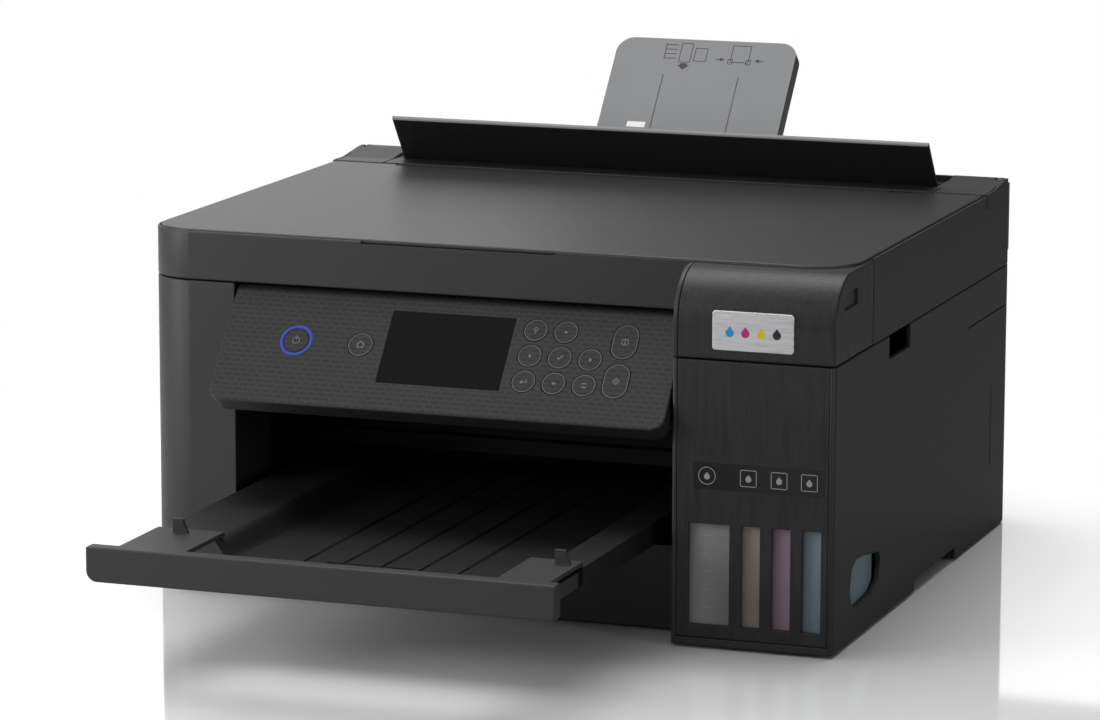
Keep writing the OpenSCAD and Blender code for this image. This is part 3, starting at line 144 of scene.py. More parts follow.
def tone(tree, value, dark, light):
    ramp = tree.nodes.new("ShaderNodeValToRGB")
    ramp.color_ramp.elements[0].position = 0.3
    ramp.color_ramp.elements[0].color = (*dark, 1)
    ramp.color_ramp.elements[1].position = 0.7
    ramp.color_ramp.elements[1].color = (*light, 1)
    tree.links.new(value, ramp.inputs["Fac"])
    return ramp.outputs["Color"]


def bump(tree, shader, height, depth, round_edge=0.0005):
    relief = tree.nodes.new("ShaderNodeBump")
    relief.inputs["Strength"].default_value = 1.0
    relief.inputs["Distance"].default_value = depth
    tree.links.new(height, relief.inputs["Height"])
    if round_edge:
        edge = tree.nodes.new("ShaderNodeBevel")
        edge.samples = 4
        edge.inputs["Radius"].default_value = round_edge
        tree.links.new(edge.outputs["Normal"], relief.inputs["Normal"])
    tree.links.new(relief.outputs["Normal"], shader.inputs["Normal"])


def plastic(name, colour, gloss, grain=2600, depth=0.00002, sheen_level=0.5, edge=0.0008,
            swing=0.05):
    material, tree, shader, place = begin(name)
    clouds = noise(tree, place, 9)
    dark = tuple(c * (1 - swing) for c in colour)
    light = tuple(c * (1 + swing) for c in colour)
    tree.links.new(tone(tree, clouds, dark, light), shader.inputs["Base Color"])
    rub = noise(tree, place, 240, stretch=(1.0, 0.5, 1.0))
    tree.links.new(spread(tree, rub, gloss - 0.01, gloss + 0.01), shader.inputs["Roughness"])
    shader.inputs["Specular IOR Level"].default_value = sheen_level
    bump(tree, shader, noise(tree, place, grain, 2.0), depth, edge)
    return material


# %% [markdown]
# Some faces of one moulding get a second colour that stands in for light: a painted highlight on
# the cut end of the flap, and painted shade on the side of the paper support. A dot product with a
# direction tells how far a point lies that way, so a second colour can start at exactly that face.

# %% A second colour past a given plane
def paint_over(tree, share, colour):
    base = tree.nodes["Principled BSDF"].inputs["Base Color"]
    mix = tree.nodes.new("ShaderNodeMix")
    mix.data_type = "RGBA"
    tree.links.new(share, mix.inputs["Factor"])
    tree.links.new(base.links[0].from_socket, mix.inputs["A"])
    mix.inputs["B"].default_value = (*colour, 1)
    tree.links.new(mix.outputs["Result"], base)


def paint_lighting_past(material, direction, start, colour):
    tree = material.node_tree
    place = next(n for n in tree.nodes if n.type == "TEX_COORD")
    reach = tree.nodes.new("ShaderNodeVectorMath")
    reach.operation = "DOT_PRODUCT"
    reach.inputs[1].default_value = direction
    tree.links.new(place.outputs["Object"], reach.inputs[0])
    past = tree.nodes.new("ShaderNodeMath")
    past.operation = "GREATER_THAN"
    past.inputs[1].default_value = start
    tree.links.new(reach.outputs["Value"], past.inputs[0])
    paint_over(tree, past.outputs["Value"], colour)


# %% [markdown]
# The wall under the tray hardly gets any light, so its shade is painted into the case colour as a
# near-black patch. Its faces lie inside a thin box, so the distance from the middle of that box,
# shared by half its size, is below one on each axis.

# %% A second colour inside a given box
def paint_shade_box(material, low, high, colour):
    tree = material.node_tree
    place = next(n for n in tree.nodes if n.type == "TEX_COORD")
    middle = [(a + b) / 2 for a, b in zip(low, high)]
    half = [(b - a) / 2 for a, b in zip(low, high)]
    moved = tree.nodes.new("ShaderNodeVectorMath")
    moved.operation = "SUBTRACT"
    moved.inputs[1].default_value = middle
    tree.links.new(place.outputs["Object"], moved.inputs[0])
    shared = tree.nodes.new("ShaderNodeVectorMath")
    shared.operation = "DIVIDE"
    shared.inputs[1].default_value = half
    tree.links.new(moved.outputs["Vector"], shared.inputs[0])
    axes = tree.nodes.new("ShaderNodeSeparateXYZ")
    tree.links.new(shared.outputs["Vector"], axes.inputs["Vector"])
    inside = None
    for axis in "XYZ":
        near = tree.nodes.new("ShaderNodeMath")
        near.operation = "COMPARE"
        near.inputs[1].default_value = 0.0
        near.inputs[2].default_value = 1.0
        tree.links.new(axes.outputs[axis], near.inputs[0])
        if inside is None:
            inside = near
            continue
        both = tree.nodes.new("ShaderNodeMath")
        both.operation = "MULTIPLY"
        tree.links.new(inside.outputs["Value"], both.inputs[0])
        tree.links.new(near.outputs["Value"], both.inputs[1])
        inside = both
    paint_over(tree, inside.outputs["Value"], colour)


# %% [markdown]
# The case is a charcoal plastic with a fine, even grain. The lid has the same colour but is a
# little smoother, which is why it picks up more of the room at a low angle.

# %% Plastics of the case
case_plastic = plastic("case_charcoal", (0.0165, 0.0165, 0.018), 0.46)
lid_plastic = plastic("lid_charcoal", (0.0165, 0.0165, 0.018), 0.4, grain=2200)
tray_plastic = plastic("tray_charcoal", (0.007, 0.007, 0.0077), 0.5, sheen_level=0.3)
lip_plastic = plastic("lip_charcoal", (0.037, 0.037, 0.039), 0.5, sheen_level=0.3)
inner_black_and_shade = plastic("inner_black", (0.003, 0.003, 0.0033), 0.55, sheen_level=0.2)
flap_plastic = plastic("flap_black", (0.0105, 0.0108, 0.0122), 0.42, sheen_level=0.4, edge=0)
support_plastic = plastic("support_grey", (0.2, 0.204, 0.21), 0.5, sheen_level=0.4)
FLAP_WAY = (0, math.cos(FLAP_TILT), math.sin(FLAP_TILT))
FLAP_HIGHLIGHT_START, SUPPORT_SHADE_START = 0.0624, 0.0523
# painted highlight: the cut end of the flap is coloured paler, as if lit along its top edge
paint_lighting_past(flap_plastic, FLAP_WAY, FLAP_HIGHLIGHT_START, (0.17, 0.17, 0.175))
# painted shade: the right side of the grey paper support is coloured near black
paint_lighting_past(support_plastic, (1, 0, 0), SUPPORT_SHADE_START, (0.012, 0.012, 0.013))
UNDER_TRAY_SHADE = (spot(77.5, -0.6, 1), spot(292.6, 0.6, 46))
# painted shade: the case colour turns near black on the wall under the tray
paint_shade_box(case_plastic, *UNDER_TRAY_SHADE, (0.003, 0.003, 0.0033))
print("plastics so far", len(bpy.data.materials))

# %% [markdown]
# The tank front and its hood carry a fine linen: thin threads across and thin threads down.
# Two wave textures in object space, one turned upright, make that cloth. Their product is the
# height, so that the crossings stand highest.

# %% The linen of the tank front
def linen(name, colour, gloss, pitch):
    material, tree, shader, place = begin(name)
    height = None
    for direction in ("X", "Z"):
        wave = tree.nodes.new("ShaderNodeTexWave")
        wave.bands_direction = direction
        wave.inputs["Scale"].default_value = 0.314 / pitch
        wave.inputs["Distortion"].default_value = 0.6
        wave.inputs["Detail"].default_value = 1.0
        tree.links.new(place.outputs["Object"], wave.inputs["Vector"])
        if height is None:
            height = wave.outputs["Fac"]
            continue
        product = tree.nodes.new("ShaderNodeMath")
        product.operation = "MULTIPLY"
        tree.links.new(height, product.inputs[0])
        tree.links.new(wave.outputs["Fac"], product.inputs[1])
        height = product.outputs["Value"]
    low = tuple(c * 0.82 for c in colour)
    high = tuple(c * 1.3 for c in colour)
    threads = noise(tree, place, 420, 2.0, stretch=(1.0, 1.0, 0.08))
    tree.links.new(tone(tree, threads, low, high), shader.inputs["Base Color"])
    tree.links.new(spread(tree, threads, gloss - 0.05, gloss + 0.06), shader.inputs["Roughness"])
    shader.inputs["Specular IOR Level"].default_value = 0.35
    bump(tree, shader, height, 0.00004, 0.0008)
    return material


front_linen = linen("tank_front_linen", (0.0185, 0.0185, 0.0205), 0.4, 0.0009)
print("linen", front_linen.name)

# %% [markdown]
# The control panel has a woven look: short dashes in rows, each row set half a step to the side.
# A brick texture does exactly that. It is laid on the tilted face by turning object space by the
# panel's own tilt, and its mortar gives the height between the dashes.

# %% The dashes of the control panel
def dashes(name, colour, gloss):
    material, tree, shader, place = begin(name)
    turn = tree.nodes.new("ShaderNodeMapping")
    turn.vector_type = "POINT"
    turn.inputs["Rotation"].default_value = (-PANEL_TILT, 0, 0)
    tree.links.new(place.outputs["Object"], turn.inputs["Vector"])
    brick = tree.nodes.new("ShaderNodeTexBrick")
    brick.inputs["Scale"].default_value = 1.0
    brick.inputs["Brick Width"].default_value = 0.0050
    brick.inputs["Row Height"].default_value = 0.0027
    brick.inputs["Mortar Size"].default_value = 0.00105
    brick.inputs["Mortar Smooth"].default_value = 0.7
    brick.inputs["Color1"].default_value = (*(c * 0.45 for c in colour), 1)
    brick.inputs["Color2"].default_value = (*(c * 0.6 for c in colour), 1)
    brick.inputs["Mortar"].default_value = (*(c * 1.15 for c in colour), 1)
    tree.links.new(turn.outputs["Vector"], brick.inputs["Vector"])
    tree.links.new(brick.outputs["Color"], shader.inputs["Base Color"])
    rub = noise(tree, place, 80)
    tree.links.new(spread(tree, rub, gloss - 0.04, gloss + 0.05), shader.inputs["Roughness"])
    bump(tree, shader, brick.outputs["Fac"], 0.00003, 0.0008)
    return material


panel_dashes = dashes("panel_dashes", (0.019, 0.019, 0.02), 0.45)
panel_dashes.node_tree.nodes["Principled BSDF"].inputs["Specular IOR Level"].default_value = 0.35
print("panel pattern", panel_dashes.name)

# %% [markdown]
# The screen is a dark glossy window, switched off. The steel of pins and rods is drawn
# steel, so its noise is stretched into long lines along the rod.

# %% Screen, steel, rubber and glass
def glossy(name, colour, gloss):
    return plastic(name, colour, gloss, grain=900, depth=0.000004, edge=0.0003)


def steel(name, colour, gloss, along):
    material, tree, shader, place = begin(name)
    lines = noise(tree, place, 900, 3.0, stretch=along)
    low = tuple(c * 0.85 for c in colour)
    tree.links.new(tone(tree, lines, low, colour), shader.inputs["Base Color"])
    tree.links.new(spread(tree, lines, gloss - 0.07, gloss + 0.08), shader.inputs["Roughness"])
    shader.inputs["Metallic"].default_value = 1.0
    bump(tree, shader, lines, 0.00001)
    return material


def clear_glass(name):
    material, tree, shader, place = begin(name)
    smudge = noise(tree, place, 30)
    tree.links.new(spread(tree, smudge, 0.02, 0.09), shader.inputs["Roughness"])
    shader.inputs["Base Color"].default_value = (0.8, 0.9, 0.88, 1)
    shader.inputs["Transmission Weight"].default_value = 0.9
    shader.inputs["IOR"].default_value = 1.5
    return material


screen_gloss = glossy("screen_gloss", (0.0012, 0.0012, 0.0014), 0.2)
screen_gloss.node_tree.nodes["Principled BSDF"].inputs["Specular IOR Level"].default_value = 0.15
rod_steel = steel("rod_steel", (0.55, 0.56, 0.58), 0.28, (0.05, 1.0, 1.0))
sheet_steel = steel("sheet_steel", (0.5, 0.51, 0.52), 0.42, (0.3, 1.0, 1.0))
roller_rubber = plastic("roller_rubber", (0.02, 0.021, 0.022), 0.75, grain=1500, depth=0.00004)
foot_rubber = plastic("foot_rubber", (0.012, 0.012, 0.012), 0.8, grain=1200, depth=0.00005)
bed_glass = clear_glass("bed_glass")
print("materials so far", len(bpy.data.materials))

# %% [markdown]
# The ink tanks are milky plastic with ink behind it. Light soaks in a little before it comes
# back, so each tank gets some subsurface scattering, and a faint darker band where ink settles.

# %% Tank plastics
def tank_plastic(name, colour):
    material, tree, shader, place = begin(name)
    streaks = noise(tree, place, 45, 3.0, stretch=(1.0, 1.0, 0.25))
    dark = tuple(c * 0.85 for c in colour)
    light = tuple(c * 1.12 for c in colour)
    tree.links.new(tone(tree, streaks, dark, light), shader.inputs["Base Color"])
    tree.links.new(spread(tree, streaks, 0.28, 0.4), shader.inputs["Roughness"])
    shader.inputs["Subsurface Weight"].default_value = 0.15
    shader.inputs["Subsurface Scale"].default_value = 0.001
    bump(tree, shader, noise(tree, place, 700, 2.0), 0.00002)
    return material


tank_black = tank_plastic("tank_black", (0.23, 0.23, 0.23))
tank_yellow = tank_plastic("tank_yellow", (0.31, 0.265, 0.23))
tank_magenta = tank_plastic("tank_magenta", (0.27, 0.19, 0.245))
tank_cyan = tank_plastic("tank_cyan", (0.17, 0.235, 0.265))
cap_black = plastic("cap_black", (0.012, 0.012, 0.012), 0.4)
cap_yellow = plastic("cap_yellow", (0.6, 0.42, 0.03), 0.4)
cap_magenta = plastic("cap_magenta", (0.42, 0.03, 0.14), 0.4)
cap_cyan = plastic("cap_cyan", (0.02, 0.2, 0.42), 0.4)
gear_plastic = plastic("gear_white", (0.62, 0.61, 0.57), 0.45)
board_green = glossy("board_green", (0.012, 0.09, 0.03), 0.35)
supply_plastic = plastic("supply_grey", (0.02, 0.022, 0.024), 0.55)
mat_foam = plastic("mat_white", (0.72, 0.72, 0.7), 0.7, grain=1400, depth=0.00004)
ring_glow = glossy("ring_blue", (0.018, 0.035, 0.26), 0.3)
glow_shader = ring_glow.node_tree.nodes["Principled BSDF"]
glow_shader.inputs["Emission Color"].default_value = (0.05, 0.09, 0.6, 1)
glow_shader.inputs["Emission Strength"].default_value = 0.14
print("materials so far", len(bpy.data.materials))

# %% [markdown]
# Now each solid gets the one material that it would be moulded or drawn from, except the engine
# frame, whose steel is painted near black as shade inside the case. The table reads like a parts
# list: a finish, and the pieces that have it.

# %% Give each solid its finish
FINISH = {
    case_plastic: ["lower_case", "outer_case", "feeder_frame", "scanner_base", "rear_cover"],
    lid_plastic: ["document_lid"],
    front_linen: ["tank_fascia", "tank_hood"],
    lip_plastic: ["paper_stop"],
    tray_plastic: ["output_tray", "hopper", "edge_guide_left", "edge_guide_right"],
    panel_dashes: ["control_panel", "power_button", "home_button", "key_help", "key_up",
                   "key_left", "key_ok", "key_right", "key_back", "key_down", "key_duplex",
                   "key_stop", "key_start"],
    # painted shade: engine_frame, really sheet steel, takes the near-black inner plastic to stand
    # for the shade inside the case
    inner_black_and_shade: ["tray_guide", "scanner_top_frame", "scan_carriage", "print_carriage",
                    "platen", "engine_frame"],
    flap_plastic: ["feeder_flap"],
    support_plastic: ["paper_support"],
    screen_gloss: ["lcd_screen"],
    ring_glow: ["power_ring"],
    foot_rubber: ["rubber_feet"],
    roller_rubber: ["feed_roller", "eject_roller", "pickup_roller", "carriage_belt"],
    rod_steel: ["hinge_pins", "lid_hinge_pins", "scan_rod", "motor_pulley", "idler_pulley"],
    sheet_steel: ["carriage_motor"],
    bed_glass: ["platen_glass"],
    mat_foam: ["lid_mat"],
    tank_black: ["tank_black"],
    tank_yellow: ["tank_yellow"],
    tank_magenta: ["tank_magenta"],
    tank_cyan: ["tank_cyan"],
    cap_black: ["cap_black"],
    cap_yellow: ["cap_yellow"],
    cap_magenta: ["cap_magenta"],
    cap_cyan: ["cap_cyan"],
    gear_plastic: ["idler_gear"],
    board_green: ["main_board"],
    supply_plastic: ["power_supply"],
}
dressed = 0
for material, names in FINISH.items():
    for name in names:
        slots = nodes[name].data.materials
        slots.clear()
        slots.append(material)
        dressed += 1
print("solids dressed", dressed, "of", len(nodes))

# %% [markdown]
# Small flat pieces, such as plates, rings and printed signs, all start the same way: an outline
# is drawn as a bmesh face, then extruded by its thickness. Working in a flat frame and placing
# the mesh at the end keeps the numbers as simple as on a drawing.

# %% Helpers for flat pieces
def place_piece(bm, name, where, material, body):
    bm.transform(where)
    bmesh.ops.recalc_face_normals(bm, faces=bm.faces)
    mesh = bpy.data.meshes.new(name)
    bm.to_mesh(mesh)
    bm.free()
    piece = bpy.data.objects.new(name, mesh)
    bpy.context.scene.collection.objects.link(piece)
    mesh.materials.append(material)
    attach(piece, body)


def raise_faces(bm, faces, thickness):
    made = bmesh.ops.extrude_face_region(bm, geom=faces)
    top = [v for v in made["geom"] if isinstance(v, bmesh.types.BMVert)]
    bmesh.ops.translate(bm, verts=top, vec=(0, 0, thickness))
    return top


def add_ring(bm, x, y, z, outer, width, thickness, steps=48, straight=0.0):
    made = bmesh.ops.create_circle(bm, segments=steps, radius=outer * MM, cap_ends=False)
    rim = list(dict.fromkeys(e for v in made["verts"] for e in v.link_edges))
    grown = bmesh.ops.extrude_edge_only(bm, edges=rim)["geom"]
    inner = [v for v in grown if isinstance(v, bmesh.types.BMVert)]
    share = 1 - width / outer
    bmesh.ops.scale(bm, verts=inner, vec=(share, share, 1))
    band = [f for f in grown if isinstance(f, bmesh.types.BMFace)]
    verts = list(made["verts"]) + inner
    for v in verts:
        if v.co.y:
            v.co.y += math.copysign(straight * MM / 2, v.co.y)
    bmesh.ops.translate(bm, verts=verts, vec=(x * MM, y * MM, z * MM))
    raise_faces(bm, band, thickness * MM)


def add_shape(bm, x, y, z, points, thickness):
    verts = [bm.verts.new(((x + px) * MM, (y + py) * MM, z * MM)) for px, py in points]
    raise_faces(bm, [bm.faces.new(verts)], thickness * MM)


def add_bar(bm, x, y, z, shape, thickness):
    cx, cy, w, h = shape
    verts = bmesh.ops.create_grid(bm, x_segments=1, y_segments=1, size=0.5)["verts"]
    bmesh.ops.scale(bm, verts=verts, vec=(w * MM, h * MM, 1))
    bmesh.ops.translate(bm, verts=verts, vec=((x + cx) * MM, (y + cy) * MM, z * MM))
    raise_faces(bm, verts[0].link_faces[:], thickness * MM)


def add_arrow(bm, x, y, z, turn, half, tall, thickness):
    made = bmesh.ops.create_circle(bm, segments=3, radius=1, cap_ends=True)
    verts = made["verts"]
    bmesh.ops.scale(bm, verts=verts, vec=(half / math.cos(math.radians(30)) * MM,
                                          tall / 1.5 * MM, 1))
    bmesh.ops.rotate(bm, verts=verts, matrix=Matrix.Rotation(math.radians(turn), 3, "Z"))
    bmesh.ops.translate(bm, verts=verts, vec=(x * MM, y * MM, z * MM))
    raise_faces(bm, verts[0].link_faces[:], thickness * MM)


def add_drop(bm, x, y, z, size, thickness):
    made = bmesh.ops.create_circle(bm, segments=24, radius=1, cap_ends=True)
    verts = made["verts"]
    for v in verts:
        rise = max(0.0, v.co.y - 0.5) * 2
        v.co.y += 0.5 * rise ** 2
        v.co.x *= 1 - 0.5 * rise
    bmesh.ops.scale(bm, verts=verts, vec=(size * MM, size * MM, 1))
    bmesh.ops.translate(bm, verts=verts, vec=(x * MM, y * MM, z * MM))
    raise_faces(bm, verts[0].link_faces[:], thickness * MM)


# %% [markdown]
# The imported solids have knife-sharp edges, but a mould always leaves a small radius, and that
# thin rounded line is what catches the light. So the large outer pieces are copied, their double
# points merged, their flat triangles joined, and the outermost edges of their main faces
# bevelled. Holes for keys and screen stay crisp. Each copy then stands in for its solid.

# %% Rounded copies of the outer pieces
CLOSE = 0.06


def on_plane(vert, axis, value):
    return abs(vert[axis] / MM - value) < CLOSE


def loop_span(loop, spots):
    ends = [spots[v] for e in loop for v in e.verts]
    return (Vector(map(max, zip(*ends))) - Vector(map(min, zip(*ends)))).length


def outer_loop(edges, spots):
    rest, loops = set(edges), []
    while rest:
        grow, loop = [rest.pop()], []
        while grow:
            edge = grow.pop()
            loop.append(edge)
            near = {e for v in edge.verts for e in v.link_edges} & rest
            rest -= near
            grow += near
        loops.append(loop)
    return max(loops, key=lambda loop: loop_span(loop, spots))


def rim_edges(bm, where, planes):
    home = where.inverted()
    turned = home.to_3x3()
    spots = {v: home @ v.co for v in bm.verts}
    crisp = [e for e in bm.edges if e.is_manifold and e.is_convex
             and e.calc_face_angle() > math.radians(35)]
    picked = set()
    for axis, value in planes:
        near = [e for e in crisp if all(on_plane(spots[v], axis, value) for v in e.verts)]
        if not near:
            print("no edge at", axis, value)
            continue
        near = outer_loop(near, spots)
        ends = [spots[v] for e in near for v in e.verts]
        middle = (Vector(map(min, zip(*ends))) + Vector(map(max, zip(*ends)))) / 2
        for e in near:
            reach = (spots[e.verts[0]] + spots[e.verts[1]]) / 2 - middle
            reach[axis] = 0
            sides = [turned @ f.normal for f in e.link_faces]
            if all(abs(n[axis]) > 0.7 or n.dot(reach) > 0 for n in sides):
                picked.add(e)
    return [e for e in bm.edges if e in picked]


def soften(name, slot, width, planes, where):
    source = nodes[name]
    bm = bmesh.new()
    bm.from_mesh(source.data)
    bmesh.ops.remove_doubles(bm, verts=bm.verts, dist=0.00001)
    bmesh.ops.dissolve_limit(bm, angle_limit=math.radians(0.5), verts=bm.verts, edges=bm.edges)
    picked = rim_edges(bm, where, planes)
    bmesh.ops.bevel(bm, geom=picked, offset=width * MM, offset_type="OFFSET", segments=3,
                    profile=0.5, affect="EDGES", material=-1, clamp_overlap=False)
    bmesh.ops.triangulate(bm, faces=[f for f in bm.faces if len(f.verts) > 4])
    mesh = bpy.data.meshes.new(name + "_skin")
    bm.to_mesh(mesh)
    bm.free()
    piece = bpy.data.objects.new(name + "_skin", mesh)
    bpy.context.scene.collection.objects.link(piece)
    mesh.materials.append(source.data.materials[0])
    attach(piece, source["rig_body"])
    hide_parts(name)
    print(name, "edges rounded", len(picked), "faces", len(mesh.polygons))


X, Y, Z = range(3)
ground = Matrix.Translation(spot(0, 0, 0))
ROUNDED = (
    ("document_lid", "lid_charcoal", 1.0, ((Z, LID_TOP),), ground),
    ("scanner_base", "case_charcoal", 0.8, ((Z, 186.2), (Z, 161.6), (Z, 163.6)), ground),
    ("outer_case", "case_charcoal", 0.7, ((Z, CASE_TOP), (Z, TANK_TOP), (Z, CASE_BOTTOM),
                                          (X, RIGHT_SIDE), (Y, -TANK_FRONT)), ground),
    ("tank_hood", "case_satin", 1.0, ((Z, 143.5), (X, RIGHT_SIDE), (X, TANK_LEFT)), ground),
    ("feeder_frame", "case_charcoal", 0.8, ((Z, LID_TOP),), ground),
    ("feeder_flap", "inner_black", 1.2, ((Z, 2.5),), flap_frame()),
    ("control_panel", "panel_dark", 0.9, ((Z, 0.0),), panel_frame()),
    ("tank_fascia", "case_satin", 0.5, ((Z, TANK_TOP), (Z, 5.4)), ground),
    ("paper_stop", "case_satin", 1.0, ((Y, -186.0), (Y, -178.0)), ground),
)
for row in ROUNDED:
    soften(*row)

# %% [markdown]
# The keys of this panel are flush pads: all that shows is a hair-thin printed ring and a small
# sign inside it. The signs are the plain ones of any machine: arrows, a house, a tick, a bent
# arrow for back, two sheets for both sides, a diamond for start and a barred circle for stop.

# %% Printed signs of the panel
sign_ink = plastic("sign_grey", (0.16, 0.16, 0.165), 0.5, edge=0)
KEY_X, KEY_S, PITCH, ROW = 215.5, 13.0, 15.7, 14.4
POWER_X, HOME_X, MIDDLE = 91.4, 126, -27.5
HAIR, STROKE = 0.28, 0.35
INK = 0.06
ROUND_KEYS = {
    "key_help": (0, 0), "key_up": (1, 0), "key_left": (0, 1), "key_ok": (1, 1),
    "key_right": (2, 1), "key_back": (0, 2), "key_down": (1, 2), "key_duplex": (2, 2),
}
ARROWS = {"key_up": 0, "key_left": 90, "key_down": 180, "key_right": 270}
RISE = 0.12
for name, (i, j) in ROUND_KEYS.items():
    bm = bmesh.new()
    x, y = KEY_X + i * PITCH, -(KEY_S + j * ROW)
    add_ring(bm, x, y, RISE, 5.9, HAIR, INK)
    if name in ARROWS:
        add_arrow(bm, x, y, RISE, ARROWS[name], 1.1, 1.4, INK)
    elif name == "key_help":
        add_ring(bm, x, y + 0.6, RISE, 1.1, STROKE, INK, steps=20)
        add_bar(bm, x, y, RISE, (0, -0.9, 0.4, 0.8), INK)
        add_bar(bm, x, y, RISE, (0, -1.9, 0.45, 0.45), INK)
    elif name == "key_ok":
        add_shape(bm, x, y, RISE, [(-1.5, 0.1), (-0.5, -1.1), (1.5, 1.1), (1.1, 1.4),
                                   (-0.5, -0.4), (-1.2, 0.4)], INK)
    elif name == "key_back":
        add_arrow(bm, x - 1.1, y - 0.4, RISE, 90, 1.0, 1.2, INK)
        add_bar(bm, x, y, RISE, (0.5, -0.4, 2.4, 0.4), INK)
        add_bar(bm, x, y, RISE, (1.5, 0.4, 0.4, 1.3), INK)
    else:
        add_bar(bm, x, y, RISE, (0, 1.0, 2.6, 0.5), INK)
        add_bar(bm, x, y, RISE, (0, -1.0, 2.6, 0.5), INK)
    place_piece(bm, name + "_sign", panel_frame(), sign_ink, name)

bm = bmesh.new()
add_ring(bm, HOME_X, MIDDLE, RISE, 6.3, HAIR, INK)
add_shape(bm, HOME_X, MIDDLE, RISE, [(-2.2, 0.1), (0, 2.1), (2.2, 0.1), (1.9, -0.2),
                                     (0, 1.5), (-1.9, -0.2)], INK)
for shape in ((-1.4, -0.8, 0.4, 1.6), (1.4, -0.8, 0.4, 1.6), (-0.9, -1.6, 1.4, 0.4),
              (0.9, -1.6, 1.4, 0.4)):
    add_bar(bm, HOME_X, MIDDLE, RISE, shape, INK)
place_piece(bm, "home_sign", panel_frame(), sign_ink, "home_button")

bm = bmesh.new()
add_ring(bm, POWER_X, MIDDLE, RISE, 2.0, STROKE, INK, steps=24)
add_bar(bm, POWER_X, MIDDLE, RISE, (0, 1.6, 0.4, 2.2), INK)
place_piece(bm, "power_sign", panel_frame(), sign_ink, "power_button")

bar_x = KEY_X + 3 * PITCH
for name, s in (("key_stop", 16.4), ("key_start", 38.3)):
    bm = bmesh.new()
    add_ring(bm, bar_x, -s, RISE, 6.4, HAIR, INK, straight=6.0)
    if name == "key_stop":
        add_ring(bm, bar_x, -s, RISE, 1.9, STROKE, INK, steps=24)
        add_bar(bm, bar_x, -s, RISE, (0, 0, 0.45, 2.4), INK)
    else:
        add_ring(bm, bar_x, -s, RISE, 2.0, 0.5, INK, steps=4)
        add_bar(bm, bar_x, -s, RISE, (0, 0, 0.4, 1.8), INK)
    place_piece(bm, name + "_sign", panel_frame(), sign_ink, name)
print("signs made")

# %% [markdown]
# The hood carries a small silver plate. It is a rounded rectangle with a bevelled rim, in a
# brushed foil whose lines run across. Four drops of ink in plain colours stand on it in a row.

# %% Silver plate on the hood
foil = steel("plate_foil", (0.78, 0.78, 0.8), 0.32, (0.08, 1.0, 1.0))
drop_paints = [glossy("drop_" + n, c, 0.35) for n, c in (
    ("cyan", (0.02, 0.3, 0.6)), ("magenta", (0.5, 0.01, 0.2)), ("yellow", (0.75, 0.55, 0.02)),
    ("black", (0.01, 0.01, 0.01)))]


def rounded_plate(bm, x0, y0, x1, y1, z, radius, thickness, edge=0.0, steps=6):
    made = bmesh.ops.create_grid(bm, x_segments=1, y_segments=1, size=0.5)
    verts = made["verts"]
    bmesh.ops.scale(bm, verts=verts, vec=((x1 - x0) * MM, (y1 - y0) * MM, 1))
    bmesh.ops.translate(bm, verts=verts, vec=((x0 + x1) / 2 * MM, (y0 + y1) / 2 * MM, z * MM))
    bmesh.ops.bevel(bm, geom=list(verts), offset=radius * MM, offset_type="OFFSET",
                    segments=steps, profile=0.5, affect="VERTICES", material=-1)
    face = [f for f in bm.faces if len(f.verts) > 4]
    top = raise_faces(bm, face, thickness * MM)
    if edge:
        lid = [e for v in top for e in v.link_edges if all(w in top for w in e.verts)]
        bmesh.ops.bevel(bm, geom=list(dict.fromkeys(lid)), offset=edge * MM,
                        offset_type="OFFSET", segments=2, profile=0.5, affect="EDGES",
                        material=-1)


PLATE_BACK, PLATE_THICK = TANK_FRONT - 0.1, 0.6
FIRST_DROP, DROP_PITCH = 322.0, 7.9
bm = bmesh.new()
rounded_plate(bm, 313.2, 148.4, 354.2, 167.7, PLATE_BACK, 1.6, PLATE_THICK, edge=0.2)
place_piece(bm, "hood_plate", upright_frame(), foil, "scanner_unit")

for i, paint in enumerate(drop_paints):
    bm = bmesh.new()
    add_drop(bm, FIRST_DROP + i * DROP_PITCH, 157.2, PLATE_BACK + PLATE_THICK, 2.1, 0.08)
    place_piece(bm, paint.name + "_mark", upright_frame(), paint, "scanner_unit")
print("drops on the plate", len(drop_paints))

# %% [markdown]
# Below the hood a darker printed band carries one sign for each tank: a ring for the wide black
# tank and squares for the three colours, each with a drop. The clear window of the black tank is
# marked with short level lines, as on any measuring jug.

# %% Band, tank signs and level lines
band_ink = glossy("band_black", (0.006, 0.006, 0.007), 0.3)
PRINT = 0.05
ON_BAND = TANK_FRONT + PRINT
SIGN_Z, DROP_Z = 86.2, 85.8
BLACK_X, COLOUR_X = 311, (332, 347.5, 362.7)
SIDE, LINE = 7.6, 0.35
bm = bmesh.new()
rounded_plate(bm, 304, 79.6, 370.4, 93.2, TANK_FRONT, 1.0, PRINT)
place_piece(bm, "tank_band", upright_frame(), band_ink, "chassis")
bm = bmesh.new()
add_ring(bm, BLACK_X, SIGN_Z, ON_BAND, 4.4, LINE, PRINT)
add_drop(bm, BLACK_X, DROP_Z, ON_BAND, 1.5, PRINT)
for x in COLOUR_X:
    for shape in ((0, 4.0, SIDE, LINE), (0, -4.0, SIDE, LINE), (4.0, 0, LINE, SIDE),
                  (-4.0, 0, LINE, SIDE)):
        add_bar(bm, x, SIGN_Z, ON_BAND, shape, PRINT)
    add_drop(bm, x, DROP_Z, ON_BAND, 1.5, PRINT)
tank_ink = plastic("tank_sign_grey", (0.3, 0.3, 0.31), 0.5, edge=0)
place_piece(bm, "tank_signs", upright_frame(), tank_ink, "chassis")

